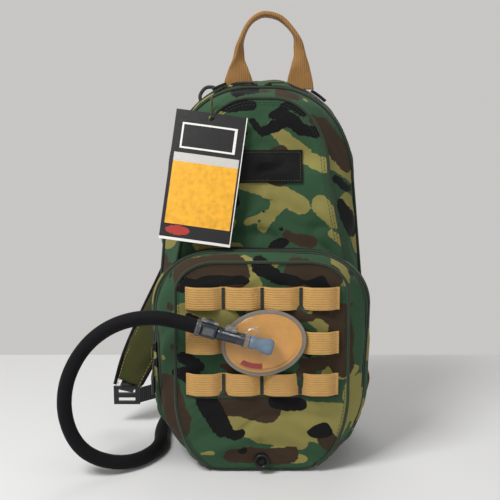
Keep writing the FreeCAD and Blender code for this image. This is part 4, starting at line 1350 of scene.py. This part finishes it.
def puffed(made, most):
    """Padded fabric: blown up by cloth simulation, with a cap on how far a point moves."""
    modifier(made, "REMESH", mode="VOXEL", voxel_size=5 * MM)
    baked(made)
    rest = [v.co.copy() for v in made.data.vertices]
    cloth = made.modifiers.new("Cloth", "CLOTH")
    cloth.settings.use_pressure = True
    cloth.settings.uniform_pressure_force = 4
    cloth.settings.effector_weights.gravity = 0
    scene = bpy.context.scene
    for step in range(1, 21):
        scene.frame_set(step)
    baked(made)
    scene.frame_set(1)
    for vert, spot in zip(made.data.vertices, rest):
        move = vert.co - spot
        if move.length > most * MM:
            vert.co = spot + move.normalized() * most * MM
    modifier(made, "SUBSURF", levels=1, render_levels=1)
    return baked(made)


class PACK_OT_tag(bpy.types.Operator):
    """Hanging card with plain printed blocks"""
    bl_idname = "pack.tag"
    bl_label = "Hang tag"
    bl_options = {"REGISTER", "UNDO"}

    def execute(self, context):
        hole = Vector((-56, -47.5, 393))
        turn = (Matrix.Rotation(math.radians(-9.4), 3, "X")
                @ Matrix.Rotation(math.radians(7.8), 3, "Y"))
        wide, tall = 80, 146
        width, height = 80.0, 146.0
        verts, faces, zones = [], [], []
        for y in (-1.6, 0.0):
            for j in range(tall + 1):
                for i in range(wide + 1):
                    x = -width / 2 + width * i / wide
                    z = 6 - height + height * j / tall
                    bow = 1.1 * math.sin(math.pi * i / wide)
                    verts.append(hole + turn @ Vector((x, y - bow, z)))
        layer = (wide + 1) * (tall + 1)

        def ink(i, j):
            u, v = i / wide, 1 - j / tall
            if u > 0.975 or v > 0.985:
                return 1
            if u < 0.04 or u > 0.95 or v < 0.03 or v > 0.88:
                return 4 if math.hypot((u - 0.24) / 0.17, (v - 0.925) / 0.036) < 1 else 0
            if v > 0.40:
                return 3
            if v > 0.33:
                return 2
            inside = 0.10 < v < 0.30 and 0.10 < u < 0.88
            rim = inside and not (0.115 < v < 0.285 and 0.13 < u < 0.85)
            return 1 if rim else 0
        for j in range(tall):
            for i in range(wide):
                x = -width / 2 + width * (i + 0.5) / wide
                z = 6 - height + height * (j + 0.5) / tall
                if math.hypot(x, z) < 3.2:
                    continue
                a = j * (wide + 1) + i
                quad = (a, a + 1, a + wide + 2, a + wide + 1)
                faces.append(quad)
                zones.append(ink(i, j))
                faces.append(tuple(reversed([v + layer for v in quad])))
                zones.append(1)
        edge = list(range(wide + 1)) + [j * (wide + 1) + wide for j in range(1, tall + 1)]
        edge += [tall * (wide + 1) + i for i in range(wide - 1, -1, -1)]
        edge += [j * (wide + 1) for j in range(tall - 1, 0, -1)]
        for a, b in zip(edge, edge[1:] + edge[:1]):
            faces.append((b, a, a + layer, b + layer))
            zones.append(1)
        made = mesh_object("tag_card", verts, faces,
                           ["ink_black", "ink_white", "ink_grey", "ink_yellow", "ink_red"],
                           zones)
        finish(made, "hang_tag", "printed_card", "hang_tag", smooth=False)
        return {"FINISHED"}


class PACK_PT_panel(bpy.types.Panel):
    """Lists what the add-on makes"""
    bl_label = "Hydration pack"
    bl_idname = "PACK_PT_panel"
    bl_space_type = "VIEW_3D"
    bl_region_type = "UI"
    bl_category = "Pack"

    def draw(self, context):
        scene = context.scene
        for group in (scene.pack_sizes, scene.pack_colors):
            for name in group.__annotations__:
                self.layout.prop(group, name)
        for made in STEPS:
            self.layout.operator(made.bl_idname)


STEPS = (PACK_OT_stage, PACK_OT_hose, PACK_OT_valve, PACK_OT_shell, PACK_OT_webbing,
         PACK_OT_zips, PACK_OT_back, PACK_OT_tag)
CLASSES = (PackSizes, PackColors, *STEPS, PACK_PT_panel)


def register():
    for made in CLASSES:
        bpy.utils.register_class(made)
    bpy.types.Scene.pack_sizes = bpy.props.PointerProperty(type=PackSizes)
    bpy.types.Scene.pack_colors = bpy.props.PointerProperty(type=PackColors)


def unregister():
    del bpy.types.Scene.pack_colors
    del bpy.types.Scene.pack_sizes
    for made in reversed(CLASSES):
        bpy.utils.unregister_class(made)


def main():
    register()
    make_materials()
    for step in STEPS:
        group, name = step.bl_idname.split(".")
        getattr(getattr(bpy.ops, group), name)()
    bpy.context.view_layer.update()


if __name__ == "__main__":
    main()
